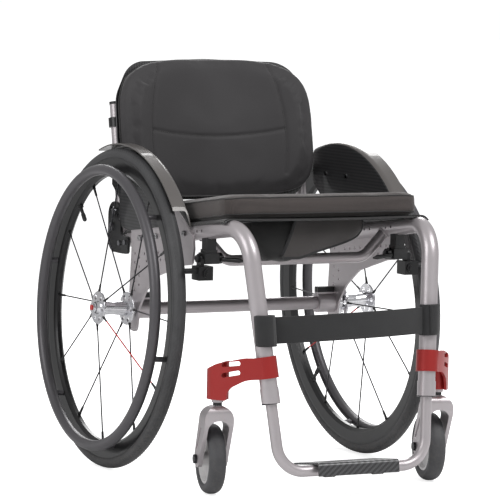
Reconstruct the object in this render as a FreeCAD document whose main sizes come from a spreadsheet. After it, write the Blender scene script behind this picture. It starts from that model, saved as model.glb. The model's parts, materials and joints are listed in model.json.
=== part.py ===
"""Rigid-frame manual wheelchair: +Z up, front towards -Y, +X to the user's left, millimetres.

The origin is on the floor, in the middle of the chair's width and length.
Distances called "ahead" are measured forward from the rear axle.
"""
import FreeCAD, Part
import math
import os
import Sketcher
from FreeCAD import Vector

doc = FreeCAD.newDocument("Wheelchair")
sheet = doc.addObject("Spreadsheet::Sheet", "Dims")

# alias, value in millimetres (or degrees, or a count), meaning
DRIVING = (
    ("wheel_diameter", 592, "rear wheel over the tyre"),
    ("tyre_width", 25, "rear tyre section"),
    ("camber", 3, "lean of each rear wheel, degrees"),
    ("half_track", 254, "middle plane to the wheel centre"),
    ("rim_depth", 30, "rear rim, bead seat to spoke side"),
    ("rim_width", 20, "rear rim across"),
    ("handrim_diameter", 529, "handrim over its tube"),
    ("handrim_tube", 20, "handrim tube"),
    ("handrim_offset", 33, "rim plane to handrim plane"),
    ("tab_count", 6, "tabs that carry a handrim"),
    ("tab_diameter", 10, "handrim tab"),
    ("flange_diameter", 60, "rear hub flange"),
    ("flange_thickness", 4, "rear hub flange"),
    ("flange_spacing", 54, "between the two flanges of a rear hub"),
    ("hub_core_diameter", 28, "rear hub between its flanges"),
    ("hub_overhang", 5, "rear hub past each flange"),
    ("spoke_count", 12, "spokes in a rear wheel"),
    ("spoke_diameter", 2.6, "rear spoke"),
    ("pin_diameter", 12.7, "quick-release axle pin"),
    ("pin_head_diameter", 18, "quick-release head"),
    ("pin_head_thickness", 6, "quick-release head"),
    ("button_diameter", 10, "quick-release button"),
    ("button_travel", 3, "quick-release button"),
    ("running_gap", 0.05, "radial clearance of a shaft that turns"),
    ("front_reach", 500, "rear axle to the front of the footplate"),
    ("rail_half_spacing", 192, "middle plane to a seat rail"),
    ("rail_height", 426, "seat rail above the floor over the axle"),
    ("seat_rake", 7.2, "seat slope, degrees"),
    ("rail_diameter", 31, "side tube"),
    ("rail_wall", 2, "side tube"),
    ("rail_rear", 73, "seat rail behind the axle"),
    ("rail_hole_diameter", 5, "holes through the seat rails"),
    ("inset_ahead", 290, "where the rails start to lean in"),
    ("corner_ahead", 409, "corner between rail and leg"),
    ("corner_half_spacing", 184, "the same corner from the middle"),
    ("corner_radius", 62, "bend between rail and leg"),
    ("leg_foot_ahead", 456, "lower end of the front leg"),
    ("leg_foot_half_spacing", 155.6, "lower end of the front leg"),
    ("leg_foot_height", 176, "lower end of the front leg"),
    ("foot_tube_diameter", 20, "footrest tube"),
    ("foot_tube_wall", 2, "footrest tube"),
    ("foot_tube_height", 54, "footrest tube above the floor"),
    ("foot_bend_radius", 50, "footrest tube"),
    ("leg_insert", 105, "footrest tube inside the front leg"),
    ("footrest_travel", 15, "footrest adjustment each way"),
    ("collar_thickness", 1, "collar round the leg"),
    ("collar_height", 24, "collar on the leg"),
    ("footplate_half_width", 80, "footplate"),
    ("footplate_depth", 95, "footplate, front to back"),
    ("footplate_thickness", 3.5, "footplate"),
    ("footplate_skirt", 24, "footplate front wall"),
    ("footplate_tilt", 8, "footplate, toes up, degrees"),
    ("cross_tube_diameter", 20, "seat cross tube"),
    ("cross_tube_wall", 2, "seat cross tube"),
    ("cross_tube_ahead", 238, "seat cross tube"),
    ("cross_tube_height", 402.5, "level run of the seat cross tube"),
    ("cross_half_width", 141, "corner of the seat cross tube"),
    ("cross_bend_radius", 35, "seat cross tube"),
    ("axle_tube_diameter", 25, "camber tube"),
    ("axle_tube_wall", 2, "camber tube"),
    ("side_plate_thickness", 4, "side plate"),
    ("screw_head_diameter", 10, "frame screws"),
    ("screw_head_height", 3, "frame screws"),
    ("guard_thickness", 2.5, "sideguard"),
    ("guard_clearance", 6, "sideguard lip above the tyre"),
    ("guard_bend", 10, "bend between a sideguard and its lip"),
    ("guard_lip_width", 31, "sideguard lip across the tyre"),
    ("guard_front_ahead", 226, "front end of the sideguard lip"),
    ("guard_rear", 100, "sideguard lip behind the axle"),
    ("sling_thickness", 2.2, "seat sling"),
    ("sling_front", 360, "seat sling ahead of the axle"),
    ("sling_rear", 60, "seat sling behind the axle"),
    ("cushion_half_width", 200, "cushion"),
    ("cushion_front", 357, "cushion ahead of the axle"),
    ("cushion_rear", 48, "cushion behind the axle"),
    ("cushion_thickness", 40, "cushion"),
    ("soft_gap", 0.4, "between a soft part and what it lies on"),
    ("pouch_width", 224, "pouch under the seat"),
    ("pouch_depth", 62, "pouch, front to back"),
    ("pouch_height", 74, "pouch"),
    ("pouch_back_ahead", 264, "back of the pouch"),
    ("strap_height", 48, "calf strap"),
    ("strap_thickness", 2.4, "calf strap"),
    ("strap_middle", 304, "middle of the calf strap above the floor"),
    ("strap_sag", 20, "calf strap bow towards the back"),
    ("strap_tilt", 6, "calf strap above its middle at the left leg, below it at the right"),
    ("strap_cuff_height", 56, "calf strap round each leg"),
    ("arm_thickness", 4.5, "caster arm band"),
    ("arm_height", 38, "caster arm band"),
    ("arm_leg_level", 235, "caster arm at the leg"),
    ("arm_slot_height", 8, "slots through a caster arm"),
    ("caster_half_track", 222, "caster stem from the middle"),
    ("caster_ahead", 381, "caster stem"),
    ("caster_diameter", 125, "caster wheel"),
    ("caster_width", 30, "caster tyre"),
    ("caster_trail", 42, "stem axis to caster axle"),
    ("caster_swivel", 12, "casters as they stand, degrees"),
    ("caster_rim_diameter", 88, "caster wheel inside its tyre"),
    ("fork_inner_width", 38, "between the fork blades"),
    ("fork_blade", 7, "fork blade"),
    ("fork_crown", 26, "fork crown height"),
    ("fork_crown_gap", 12, "caster wheel to the fork crown"),
    ("caster_bolt_diameter", 8, "caster axle bolt"),
    ("stem_diameter", 12, "caster stem"),
    ("barrel_diameter", 30, "caster housing"),
    ("barrel_height", 48, "caster housing"),
    ("bearing_diameter", 24, "caster bearing"),
    ("bearing_height", 8, "caster bearing"),
    ("crown_gap", 12, "fork crown to the bearing"),
    ("pivot_behind", 98, "backrest pivot behind the axle"),
    ("pivot_height", 438, "backrest pivot above the floor"),
    ("recline", 11, "backrest lean, degrees"),
    ("post_diameter", 20, "back post"),
    ("post_length", 232, "back post above its pivot"),
    ("post_below", 26, "back post below its pivot"),
    ("pivot_bolt_diameter", 8, "backrest pivot bolt"),
    ("hinge_thickness", 5, "back hinge plate"),
    ("back_half_width", 207, "back pad at its widest"),
    ("back_bottom", 49, "back pad bottom above the pivot, along the posts"),
    ("back_height", 270, "back pad along the posts"),
    ("back_bow_radius", 620, "plan curve of the back shell"),
    ("back_pad_thickness", 32, "back pad"),
    ("back_shell_thickness", 3, "back shell"),
    ("bar_diameter", 16, "bar between the back posts"),
    ("brake_pivot_ahead", 274, "brake pivot"),
    ("brake_pivot_drop", 49.6, "brake pivot below the rail axis"),
    ("brake_pin_diameter", 8, "brake pivot"),
    ("brake_bar_diameter", 10, "bar that presses the tyre"),
    ("brake_bar_ahead", 290.4, "the same bar"),
    ("brake_bar_height", 391, "the same bar"),
)


class Size:
    """A number kept together with the spreadsheet expression that gives it."""

    def __init__(self, value, text):
        self.value = value
        self.text = text

    def __float__(self):
        return float(self.value)

    def __add__(self, other):
        return Size(self.value + float(other), "(%s + %s)" % (self.text, words(other)))

    def __sub__(self, other):
        return Size(self.value - float(other), "(%s - %s)" % (self.text, words(other)))

    def __mul__(self, other):
        return Size(self.value * float(other), "(%s * %s)" % (self.text, words(other)))

    def __truediv__(self, other):
        return Size(self.value / float(other), "(%s / %s)" % (self.text, words(other)))

    def __neg__(self):
        return Size(-self.value, "(0 - %s)" % self.text)


def words(number):
    """The text of a size or a plain number inside an expression."""
    return number.text if isinstance(number, Size) else repr(float(number))


class Driving:
    """Every driving dimension as an attribute."""


D = Driving()
for row, (alias, amount, meaning) in enumerate(DRIVING, start=1):
    sheet.set("A%d" % row, meaning)
    sheet.set("B%d" % row, str(amount))
    sheet.setAlias("B%d" % row, alias)
    setattr(D, alias, Size(float(amount), "Dims." + alias))
doc.recompute()

nodes = []


# ---------------------------------------------------------------- helpers
def bind(thing, name, size):
    """Set a property from the spreadsheet, or to a plain number."""
    if isinstance(size, Size):
        thing.setExpression(name, size.text)
    else:
        setattr(thing, name, size)


def node(label, thing):
    """Name a finished sub-part and put it on the list of what is written."""
    thing.Label = label
    nodes.append(thing)
    return thing


def along(origin, direction):
    """Placement whose local Z points along a direction."""
    return FreeCAD.Placement(Vector(*origin), FreeCAD.Rotation(Vector(0, 0, 1), Vector(*direction)))


def axes(origin, x_axis, z_axis):
    """Placement with a given local X and local Z."""
    x_dir = Vector(*x_axis)
    z_dir = Vector(*z_axis)
    return FreeCAD.Placement(Vector(*origin), FreeCAD.Rotation(x_dir, z_dir.cross(x_dir), z_dir, "ZXY"))


def cylinder(name, radius, height, place):
    thing = doc.addObject("Part::Cylinder", name)
    bind(thing, "Radius", radius)
    bind(thing, "Height", height)
    thing.Placement = place
    return thing


def rod(name, radius, start, end):
    """Round bar from one point to another."""
    span = Vector(*end) - Vector(*start)
    return cylinder(name, radius, span.Length, along(start, span))


def box(name, sizes, place):
    """Box whose centre is at its placement."""
    thing = doc.addObject("Part::Box", name)
    for side, amount in zip(("Length", "Width", "Height"), sizes):
        bind(thing, side, amount)
    corner = Vector(-float(sizes[0]) / 2, -float(sizes[1]) / 2, -float(sizes[2]) / 2)
    thing.Placement = place.multiply(FreeCAD.Placement(corner, FreeCAD.Rotation()))
    return thing


def flat_box(name, low, high):
    """Box between two corners, square to the chair."""
    sizes = [high[i] - low[i] for i in range(3)]
    middle = [(high[i] + low[i]) / 2 for i in range(3)]
    return box(name, sizes, FreeCAD.Placement(Vector(*middle), FreeCAD.Rotation()))


def fuse(label, parts):
    thing = doc.addObject("Part::MultiFuse", label)
    thing.Shapes = parts
    return thing


def cut(label, base, *tools):
    thing = doc.addObject("Part::Cut", label)
    thing.Base = base
    thing.Tool = tools[0] if len(tools) == 1 else fuse(label + "_tools", list(tools))
    return thing


def common(label, parts):
    thing = doc.addObject("Part::MultiCommon", label)
    thing.Shapes = parts
    return thing


def group(label, parts):
    thing = doc.addObject("Part::Compound", label)
    thing.Links = parts
    return thing


def rounded(points):
    """Closed outline of straight edges whose corners (x, y, radius) are arcs."""
    stops = []
    for i, (x, y, radius) in enumerate(points):
        here = Vector(x, y, 0)
        before = (Vector(*points[i - 1][:2], 0) - here).normalize()
        after = (Vector(*points[(i + 1) % len(points)][:2], 0) - here).normalize()
        half_turn = (math.pi - before.getAngle(after)) / 2
        reach = radius * math.tan(half_turn)
        middle = (before + after).normalize() * (radius / math.cos(half_turn) - radius)
        stops.append((here + before * reach, here + middle, here + after * reach, radius > 0))
    edges = []
    for i, (start, middle, end, bent) in enumerate(stops):
        if bent:
            edges.append(Part.Arc(start, middle, end))
        next_start = stops[(i + 1) % len(stops)][0]
        if (next_start - end).Length > 1e-6:
            edges.append(Part.LineSegment(end, next_start))
    return edges


def arc_through(centre, radius, first, last):
    """Arc round a centre between two angles in degrees."""
    spots = []
    for angle in (first, (first + last) / 2, last):
        turn = math.radians(angle)
        spots.append(Vector(centre[0] + radius * math.cos(turn), centre[1] + radius * math.sin(turn), 0))
    return Part.Arc(*spots)


def curved_slot(centre, radius, first, last, half_width):
    """Slot that follows an arc, with round ends."""
    edges = [arc_through(centre, radius + half_width, first, last),
             arc_through(centre, radius - half_width, first, last)]
    for angle, way in ((first, -1), (last, 1)):
        turn = math.radians(angle)
        end = (centre[0] + radius * math.cos(turn), centre[1] + radius * math.sin(turn))
        edges.append(arc_through(end, half_width, angle, angle + 180 * way))
    return edges


def own_plane(body, role):
    return next(plane for plane in body.Origin.OriginFeatures if plane.Role == role)


def pad(label, edges, thickness, place, holes=(), inner=()):
    """Plate: an outline with round holes (x, y, radius), padded along local Z."""
    body = doc.addObject("PartDesign::Body", label)
    sketch = body.newObject("Sketcher::SketchObject", label + "_outline")
    sketch.AttachmentSupport = (own_plane(body, "XY_Plane"), [""])
    sketch.MapMode = "FlatFace"
    sketch.addGeometry(list(edges) + list(inner), False)
    for x, y, radius in holes:
        ring = sketch.addGeometry(Part.Circle(Vector(x, y, 0), Vector(0, 0, 1), float(radius)), False)
        at = sketch.addConstraint(Sketcher.Constraint("Radius", ring, float(radius)))
        if isinstance(radius, Size):
            sketch.setExpression("Constraints[%d]" % at, radius.text)
    feature = body.newObject("PartDesign::Pad", label + "_pad")
    feature.Profile = sketch
    bind(feature, "Length", thickness)
    body.Placement = place
    return body


def revolve(label, outline, place):
    """Turned piece: a closed outline of (radius, height) sizes about local Z."""
    body = doc.addObject("PartDesign::Body", label)
    sketch = body.newObject("Sketcher::SketchObject", label + "_section")
    sketch.AttachmentSupport = (own_plane(body, "XZ_Plane"), [""])
    sketch.MapMode = "FlatFace"
    spots = [Vector(float(r), float(h), 0) for r, h in outline]
    sketch.addGeometry([Part.LineSegment(spots[i], spots[(i + 1) % len(spots)]) for i in range(len(spots))],
                       False)
    for i, (radius, height) in enumerate(outline):
        follower = (i + 1) % len(outline)
        sketch.addConstraint(Sketcher.Constraint("Coincident", i, 2, follower, 1))
        for kind, amount in (("DistanceX", radius), ("DistanceY", height)):
            at = sketch.addConstraint(Sketcher.Constraint(kind, -1, 1, i, 1, float(amount)))
            if isinstance(amount, Size):
                sketch.setExpression("Constraints[%d]" % at, amount.text)
    feature = body.newObject("PartDesign::Revolution", label + "_turned")
    feature.Profile = sketch
    feature.ReferenceAxis = (sketch, ["V_Axis"])
    feature.Angle = 360
    body.Placement = place
    return body


def extrusion(label, edges, depth, place):
    """Free sketch pushed along its own Z, for pieces that two outlines make together."""
    sketch = doc.addObject("Sketcher::SketchObject", label + "_outline")
    sketch.addGeometry(list(edges), False)
    sketch.Placement = place
    thing = doc.addObject("Part::Extrusion", label)
    thing.Base = sketch
    thing.DirMode = "Normal"
    thing.Solid = True
    bind(thing, "LengthFwd", depth)
    return thing


def route(name, points, radii):
    """Path of straight runs joined by tangent arcs; radii belong to the inner points."""
    spots = [Vector(*point) for point in points]
    edges = []
    start = spots[0]
    for i, radius in enumerate(radii, start=1):
        before = (spots[i - 1] - spots[i]).normalize()
        after = (spots[i + 1] - spots[i]).normalize()
        half_turn = (math.pi - before.getAngle(after)) / 2
        reach = float(radius) * math.tan(half_turn)
        middle = (before + after).normalize() * (float(radius) / math.cos(half_turn) - float(radius))
        edges.append(Part.LineSegment(start, spots[i] + before * reach).toShape())
        edges.append(Part.Arc(spots[i] + before * reach, spots[i] + middle,
                              spots[i] + after * reach).toShape())
        start = spots[i] + after * reach
    edges.append(Part.LineSegment(start, spots[-1]).toShape())
    path = doc.addObject("Part::Feature", name)
    path.Shape = Part.Wire(edges)
    return path


def sweep(name, path, first, second, radius):
    """Round bar along a path that starts at the first point, towards the second."""
    ring = doc.addObject("Part::Circle", name + "_ring")
    bind(ring, "Radius", radius)
    ring.Placement = along(first, Vector(*second) - Vector(*first))
    thing = doc.addObject("Part::Sweep", name)
    thing.Sections = [ring]
    thing.Spine = (path, [])
    thing.Solid = True
    thing.Frenet = False
    return thing


def tube(name, points, radii, diameter, wall):
    """Bent tube; gives the hollow tube and the solid bar of its outside."""
    path = route(name + "_path", points, radii)
    outside = sweep(name + "_outside", path, points[0], points[1], diameter / 2)
    inside = sweep(name + "_inside", path, points[0], points[1], diameter / 2 - wall)
    return cut(name, outside, inside), outside


def round_box(name, sizes, place, radius):
    """Box with every edge rounded."""
    core = box(name + "_block", sizes, place)
    doc.recompute()
    thing = doc.addObject("Part::Fillet", name)
    thing.Base = core
    thing.Edges = [(i, float(radius), float(radius)) for i in range(1, 13)]
    return thing


# ---------------------------------------------------------------- places
wheel_radius = D.wheel_diameter / 2
camber = math.radians(D.camber.value)
rake = math.radians(D.seat_rake.value)
axle_y = (D.front_reach.value - wheel_radius.value) / 2
axle_z = (wheel_radius.value - D.tyre_width.value / 2) * math.cos(camber) + D.tyre_width.value / 2
rail_radius = D.rail_diameter / 2
SIDES = (("left", 1), ("right", -1))


def y_at(ahead):
    return axle_y - float(ahead)


def rail_z(ahead):
    return D.rail_height.value + float(ahead) * math.tan(rake)


def rail_top(ahead):
    return rail_z(ahead) + rail_radius.value / math.cos(rake)


leg_top = Vector(D.corner_half_spacing.value, y_at(D.corner_ahead), rail_z(D.corner_ahead))
leg_foot = Vector(D.leg_foot_half_spacing.value, y_at(D.leg_foot_ahead), D.leg_foot_height.value)
leg_up = (leg_top - leg_foot).normalize()


def mirrored(point, side):
    return (point[0] * side, point[1], point[2])


def on_leg(height, side=1):
    """Point of the leg's axis at a height above the floor."""
    share = (height - leg_foot.z) / leg_up.z
    return mirrored(leg_foot + leg_up * share, side)


def seat_place(ahead, lift, x=0):
    """Placement on the seat: local Y runs up the slope to the front, local Z is square to the seat."""
    spot = Vector(x, y_at(ahead), rail_z(ahead)) + Vector(0, math.sin(rake), math.cos(rake)) * lift
    return axes(spot, (-1, 0, 0), (0, math.sin(rake), math.cos(rake)))


# ---------------------------------------------------------------- frame
rail_solids = {}
for name, side in SIDES:
    points = [(side * D.rail_half_spacing.value, y_at(-D.rail_rear.value), rail_z(-D.rail_rear.value)),
              (side * D.rail_half_spacing.value, y_at(D.inset_ahead), rail_z(D.inset_ahead)),
              mirrored(leg_top, side), mirrored(leg_foot, side)]
    hollow, solid = tube("side_tube_whole_" + name, points, (400, D.corner_radius), D.rail_diameter,
                         D.rail_wall)
    drills = []
    for ahead in (175, 195, 255, 275):
        spot = Vector(side * (D.rail_half_spacing.value - D.rail_diameter.value), y_at(ahead), rail_z(ahead))
        drills.append(cylinder("rail_drill", D.rail_hole_diameter / 2, D.rail_diameter * 2,
                               along(spot, (side, 0, 0))))
    node("side_tube_" + name, cut("side_tube_" + name, hollow, *drills))
    rail_solids[side] = solid

cross_points = [(side * x, y_at(D.cross_tube_ahead), z)
                for side, x, z in ((1, D.rail_half_spacing.value, rail_z(D.cross_tube_ahead)),
                                   (1, D.cross_half_width.value, D.cross_tube_height.value),
                                   (-1, D.cross_half_width.value, D.cross_tube_height.value),
                                   (-1, D.rail_half_spacing.value, rail_z(D.cross_tube_ahead)))]
cross_hollow, cross_solid = tube("cross_tube_whole", cross_points, (D.cross_bend_radius,) * 2,
                                 D.cross_tube_diameter, D.cross_tube_wall)
node("seat_cross_tube", cut("seat_cross_tube", cross_hollow, rail_solids[1], rail_solids[-1]))

plate_inner = D.rail_half_spacing + rail_radius + 0.2
plate_outer = plate_inner + D.side_plate_thickness
axle_tube_end = D.rail_half_spacing.value + 6
axle_tube_z = axle_z - (D.half_track.value - plate_inner.value) * math.tan(camber)
tube_bore = D.axle_tube_diameter / 2 - D.axle_tube_wall
axle_line = ((-axle_tube_end, axle_y, axle_tube_z), (axle_tube_end, axle_y, axle_tube_z))
axle_tube_solid = rod("axle_tube_outside", D.axle_tube_diameter / 2, *axle_line)
node("axle_tube", cut("axle_tube", axle_tube_solid, rod("axle_tube_bore", tube_bore, *axle_line)))

clamp_reach = 36.0
clamp_radius = D.axle_tube_diameter / 2 + 6
clamps = []
for name, side in SIDES:
    start = (side * (plate_inner.value - clamp_reach), axle_y, axle_tube_z)
    end = (side * plate_inner.value, axle_y, axle_tube_z)
    ring = rod("axle_clamp_ring", clamp_radius, start, end)
    ear_x = side * (plate_inner.value - clamp_reach / 2)
    ear = box("axle_clamp_ear", (clamp_reach, 14, 18),
              FreeCAD.Placement(Vector(ear_x, axle_y, axle_tube_z + clamp_radius.value + 3),
                                FreeCAD.Rotation()))
    bore = rod("axle_clamp_bore", D.axle_tube_diameter / 2, start, end)
    split = box("axle_clamp_split", (clamp_reach + 2, 2, 2 * clamp_radius.value),
                FreeCAD.Placement(Vector(ear_x, axle_y, axle_tube_z + 1.5 * clamp_radius.value),
                                  FreeCAD.Rotation()))
    clamps.append(cut("axle_clamp_" + name, fuse("axle_clamp_body", [ring, ear]), bore, split))
node("axle_clamps", group("axle_clamps", clamps))


def side_place(x_inner, thickness, side):
    """Placement of an upright plate: local X ahead of the axle, local Y above the floor."""
    low_x = x_inner if side > 0 else -(x_inner + thickness)
    return axes((low_x + thickness, axle_y, 0), (0, -1, 0), (-1, 0, 0))


receiver_radius = D.axle_tube_diameter / 2 - 0.7
tip_z = axle_tube_z - 42
plate_outline = [(-16, rail_z(-16) + 20, 6), (128, rail_z(128) + 20, 12), (150, rail_z(150) + 56, 8),
                 (172, rail_z(172) + 54, 8), (249, rail_z(249) - 12, 12), (252, rail_z(252) - 32, 10),
                 (246, rail_z(246) - 60, 10), (205, rail_z(205) - 60, 20), (100, axle_tube_z + 70, 60),
                 (52, axle_tube_z + 38, 50), (24, axle_tube_z + 4, 20), (14, tip_z, 12), (-16, tip_z, 14),
                 (-23, axle_tube_z, 20), (-14, axle_tube_z + 108, 30)]
plate_holes = [(0, axle_tube_z, receiver_radius + 0.6)]
plate_holes += [(3, rail_z(3) - 30 - 17 * k, 2.8) for k in range(5)]
plate_holes += [(22, rail_z(22) - 38 - 17 * k, 2.8) for k in range(4)]
plate_holes += [(44 + 20 * k, rail_z(44 + 20 * k) - 32, 2.8) for k in range(9)]
plate_holes += [(54 + 20 * k, rail_z(54 + 20 * k) - 46, 2.8) for k in range(8)]
for name, side in SIDES:
    node("side_plate_" + name,
         pad("side_plate_" + name, rounded(plate_outline), D.side_plate_thickness,
             side_place(plate_inner.value, D.side_plate_thickness.value, side), plate_holes))

# the rear wheels, their pins and receivers all lie on the cambered axle line
wheel_places = {}
for name, side in SIDES:
    outward = (side * math.cos(camber), 0, math.sin(camber))
    wheel_places[side] = axes((side * D.half_track.value, axle_y, axle_z), (0, side, 0), outward)


def on_axle(side, reach):
    """Placement on the axle line, a distance outward from the rim plane."""
    return wheel_places[side].multiply(FreeCAD.Placement(Vector(0, 0, float(reach)), FreeCAD.Rotation()))


def from_wheel(x):
    """Distance along the axle line, outward positive, of a place x from the middle plane."""
    return (float(x) - D.half_track.value) / math.cos(camber)


hub_inner = -(D.flange_spacing / 2 + D.flange_thickness + D.hub_overhang)
hub_outer = D.flange_spacing / 2 + D.flange_thickness + D.hub_overhang
receiver_out = hub_inner - 1
socket_floor = 0.2
button_proud = 1.5
receivers = []
pins = []
for name, side in SIDES:
    low = from_wheel(axle_tube_end + 0.6)
    flange_low = from_wheel(plate_outer + 0.8)
    sleeve = cylinder("receiver_sleeve", receiver_radius, receiver_out.value - low, on_axle(side, low))
    collar = cylinder("receiver_flange", receiver_radius + 3, receiver_out.value - flange_low,
                      on_axle(side, flange_low))
    bore = cylinder("receiver_bore", D.pin_diameter / 2, 80, on_axle(side, low - 5))
    receivers.append(cut("axle_receiver_" + name, fuse("receiver_body", [sleeve, collar]), bore))
    shaft_low = low - 6
    head_low = hub_outer + 0.5
    shaft = cylinder("pin_shaft", D.pin_diameter / 2, head_low.value - shaft_low, on_axle(side, shaft_low))
    head = cylinder("pin_head", D.pin_head_diameter / 2, D.pin_head_thickness, on_axle(side, head_low))
    socket = cylinder("pin_socket", D.button_diameter / 2 + D.running_gap, D.pin_head_thickness + 1,
                      on_axle(side, head_low + socket_floor))
    pins.append(cut("axle_pin_" + name, fuse("pin_body", [shaft, head]), socket))
    button_length = D.pin_head_thickness - socket_floor - D.button_travel + button_proud
    node("qr_button_" + name,
         cylinder("qr_button_" + name, D.button_diameter / 2, button_length,
                  on_axle(side, head_low + D.button_travel + socket_floor)))
node("axle_receivers", group("axle_receivers", receivers))
node("axle_pins", group("axle_pins", pins))

# ---------------------------------------------------------------- sideguards
guard_inner = plate_outer + 0.3
lip_radius = wheel_radius + D.guard_clearance + D.guard_thickness
guard_t = D.guard_thickness.value
lip_reach = lip_radius.value + 40
guard_hole = 140
guard_section = [(guard_hole, 0, 0), (lip_radius.value, 0, D.guard_bend.value),
                 (lip_radius.value, D.guard_lip_width.value, 0),
                 (lip_radius.value - guard_t, D.guard_lip_width.value, 0),
                 (lip_radius.value - guard_t, guard_t, D.guard_bend.value - guard_t), (guard_hole, guard_t, 0)]
lip_end_z = axle_z + math.sqrt(lip_radius.value ** 2 - D.guard_front_ahead.value ** 2)
region_top = axle_z + lip_reach
foot_ahead = D.guard_front_ahead.value + 14
foot_z = rail_z(foot_ahead) + 8
front_lean = (foot_ahead - D.guard_front_ahead.value) / (lip_end_z - foot_z)
guard_region = [(-D.guard_rear.value, rail_z(0) + 92, 0), (-66, rail_z(-66) + 76, 8), (-54, rail_z(-54) + 22, 8),
                (-20, rail_z(-20) + 14, 8), (128, rail_z(128) + 14, 20), (164, rail_z(164) + 60, 8),
                (foot_ahead, foot_z, 0), (foot_ahead - (region_top - foot_z) * front_lean, region_top, 0),
                (-D.guard_rear.value, region_top, 0)]
for name, side in SIDES:
    section = doc.addObject("Sketcher::SketchObject", "guard_section_" + name)
    section.addGeometry(rounded(guard_section), False)
    section.Placement = axes((side * guard_inner.value, axle_y, axle_z), (0, 0, -1), (0, -side, 0))
    turned = doc.addObject("Part::Revolution", "guard_turned_" + name)
    turned.Source = section
    turned.Base = Vector(0, axle_y, axle_z)
    turned.Axis = Vector(1, 0, 0)
    turned.Angle = 360
    turned.Solid = True
    region = extrusion("guard_region_" + name, rounded(guard_region), D.guard_lip_width + 10,
                       side_place(guard_inner.value - 5, D.guard_lip_width.value + 10, side))
    node("sideguard_" + name, common("sideguard_" + name, [turned, region]))

screws = []
head_radius = D.screw_head_diameter / 2
for name, side in SIDES:
    for ahead in (24, 96, 150, 212):
        start = Vector(side * plate_outer.value, y_at(ahead), rail_z(ahead) - 2)
        screws.append(cylinder("plate_screw", head_radius, D.screw_head_height, along(start, (side, 0, 0))))
    for ahead in (-46, 36):
        start = Vector(side * guard_inner.value, y_at(ahead), rail_z(0) + 111)
        screws.append(cylinder("guard_screw", head_radius * 0.8, D.screw_head_height * 0.7,
                               along(start, (-side, 0, 0))))
node("frame_screws", group("frame_screws", screws))

# ---------------------------------------------------------------- seat
slope = math.cos(rake)
sling_length = (D.sling_front + D.sling_rear) / slope
sling_middle = (D.sling_front - D.sling_rear) / 2
sling_lift = rail_radius.value + 0.05 + D.sling_thickness.value / 2
node("seat_sling", box("seat_sling", (D.rail_half_spacing * 2 + 14, sling_length, D.sling_thickness),
                       seat_place(sling_middle, sling_lift)))
cushion_length = (D.cushion_front + D.cushion_rear) / slope
cushion_middle = (D.cushion_front - D.cushion_rear) / 2
cushion_lift = (rail_radius + D.sling_thickness + D.soft_gap * 2 + D.cushion_thickness / 2).value
node("seat_cushion", round_box("seat_cushion",
                               (D.cushion_half_width * 2, cushion_length, D.cushion_thickness),
                               seat_place(cushion_middle, cushion_lift), 6))
pouch_half = D.pouch_width.value / 2
pouch_deep = D.pouch_height.value
pouch_outline = [(-pouch_half, 0, 4), (-pouch_half, -pouch_deep * 0.3, 20),
                 (-pouch_half + 32, -pouch_deep, 16),
                 (-pouch_half + 92, -pouch_deep, 24), (pouch_half - 26, -pouch_deep * 0.62, 30),
                 (pouch_half, -pouch_deep * 0.4, 10), (pouch_half, 0, 4)]
pouch_lift = rail_radius.value - D.soft_gap.value
pouch_spot = seat_place(D.pouch_back_ahead, pouch_lift, x=-20).Base
node("seat_pouch", pad("seat_pouch", rounded(pouch_outline), D.pouch_depth / slope,
                       axes(pouch_spot, (1, 0, 0), (0, -math.cos(rake), math.sin(rake)))))

# ---------------------------------------------------------------- front legs and footrest
strap_half = D.strap_height.value / 2
cuff_half = D.strap_cuff_height.value / 2
leg_slope = Vector(0, leg_up.y, leg_up.z).normalize()
sleeve_outer = rail_radius + 0.1 + D.strap_thickness
sleeves = []
bores = []
for name, side in SIDES:
    middle = Vector(*on_leg(D.strap_middle.value + side * D.strap_tilt.value * 0.8, side))
    up = Vector(*mirrored(leg_up, side))
    sleeves.append(cylinder("strap_sleeve", sleeve_outer, D.strap_cuff_height,
                            along(middle - up * cuff_half, up)))
    bores.append(cylinder("strap_bore", rail_radius + 0.1, D.strap_cuff_height * 1.5,
                          along(middle - up * (cuff_half * 1.5), up)))
strap_spot = Vector(*on_leg(D.strap_middle.value - 2))
strap_x = strap_spot.x - 6
sag = D.strap_sag.value
thick = D.strap_thickness.value
band_edges = [Part.Arc(Vector(-strap_x, 0, 0), Vector(0, sag, 0), Vector(strap_x, 0, 0)),
              Part.LineSegment(Vector(strap_x, 0, 0), Vector(strap_x, thick, 0)),
              Part.Arc(Vector(strap_x, thick, 0), Vector(0, sag + thick, 0), Vector(-strap_x, thick, 0)),
              Part.LineSegment(Vector(-strap_x, thick, 0), Vector(-strap_x, 0, 0))]
tilt_share = D.strap_tilt.value / strap_x
band_up = (leg_slope - Vector(tilt_share, 0, 0)).normalize()
band_start = Vector(0, strap_spot.y, strap_spot.z) - band_up * strap_half
band = pad("strap_band", band_edges, D.strap_height, axes(band_start, (1, 0, tilt_share), band_up))
node("calf_strap", cut("calf_strap", fuse("strap_whole", sleeves + [band]), *bores))

collars = []
collar_radius = rail_radius + D.collar_thickness
lip = 4.0
converge = abs(leg_up.x / leg_up.z) * D.footrest_travel.value
for name, side in SIDES:
    up = Vector(*mirrored(leg_up, side))
    foot = Vector(*mirrored(leg_foot, side))
    ring = cylinder("collar_ring", collar_radius, D.collar_height + lip, along(foot - up * lip, up))
    seat = cylinder("collar_seat", rail_radius, D.collar_height * 2, along(foot, up))
    guide = cylinder("collar_guide", D.foot_tube_diameter / 2 + converge + 0.8, lip * 3,
                     along(foot - up * 6, up))
    collars.append(cut("leg_collar_" + name, ring, seat, guide))
node("leg_collars", group("leg_collars", collars))

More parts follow.
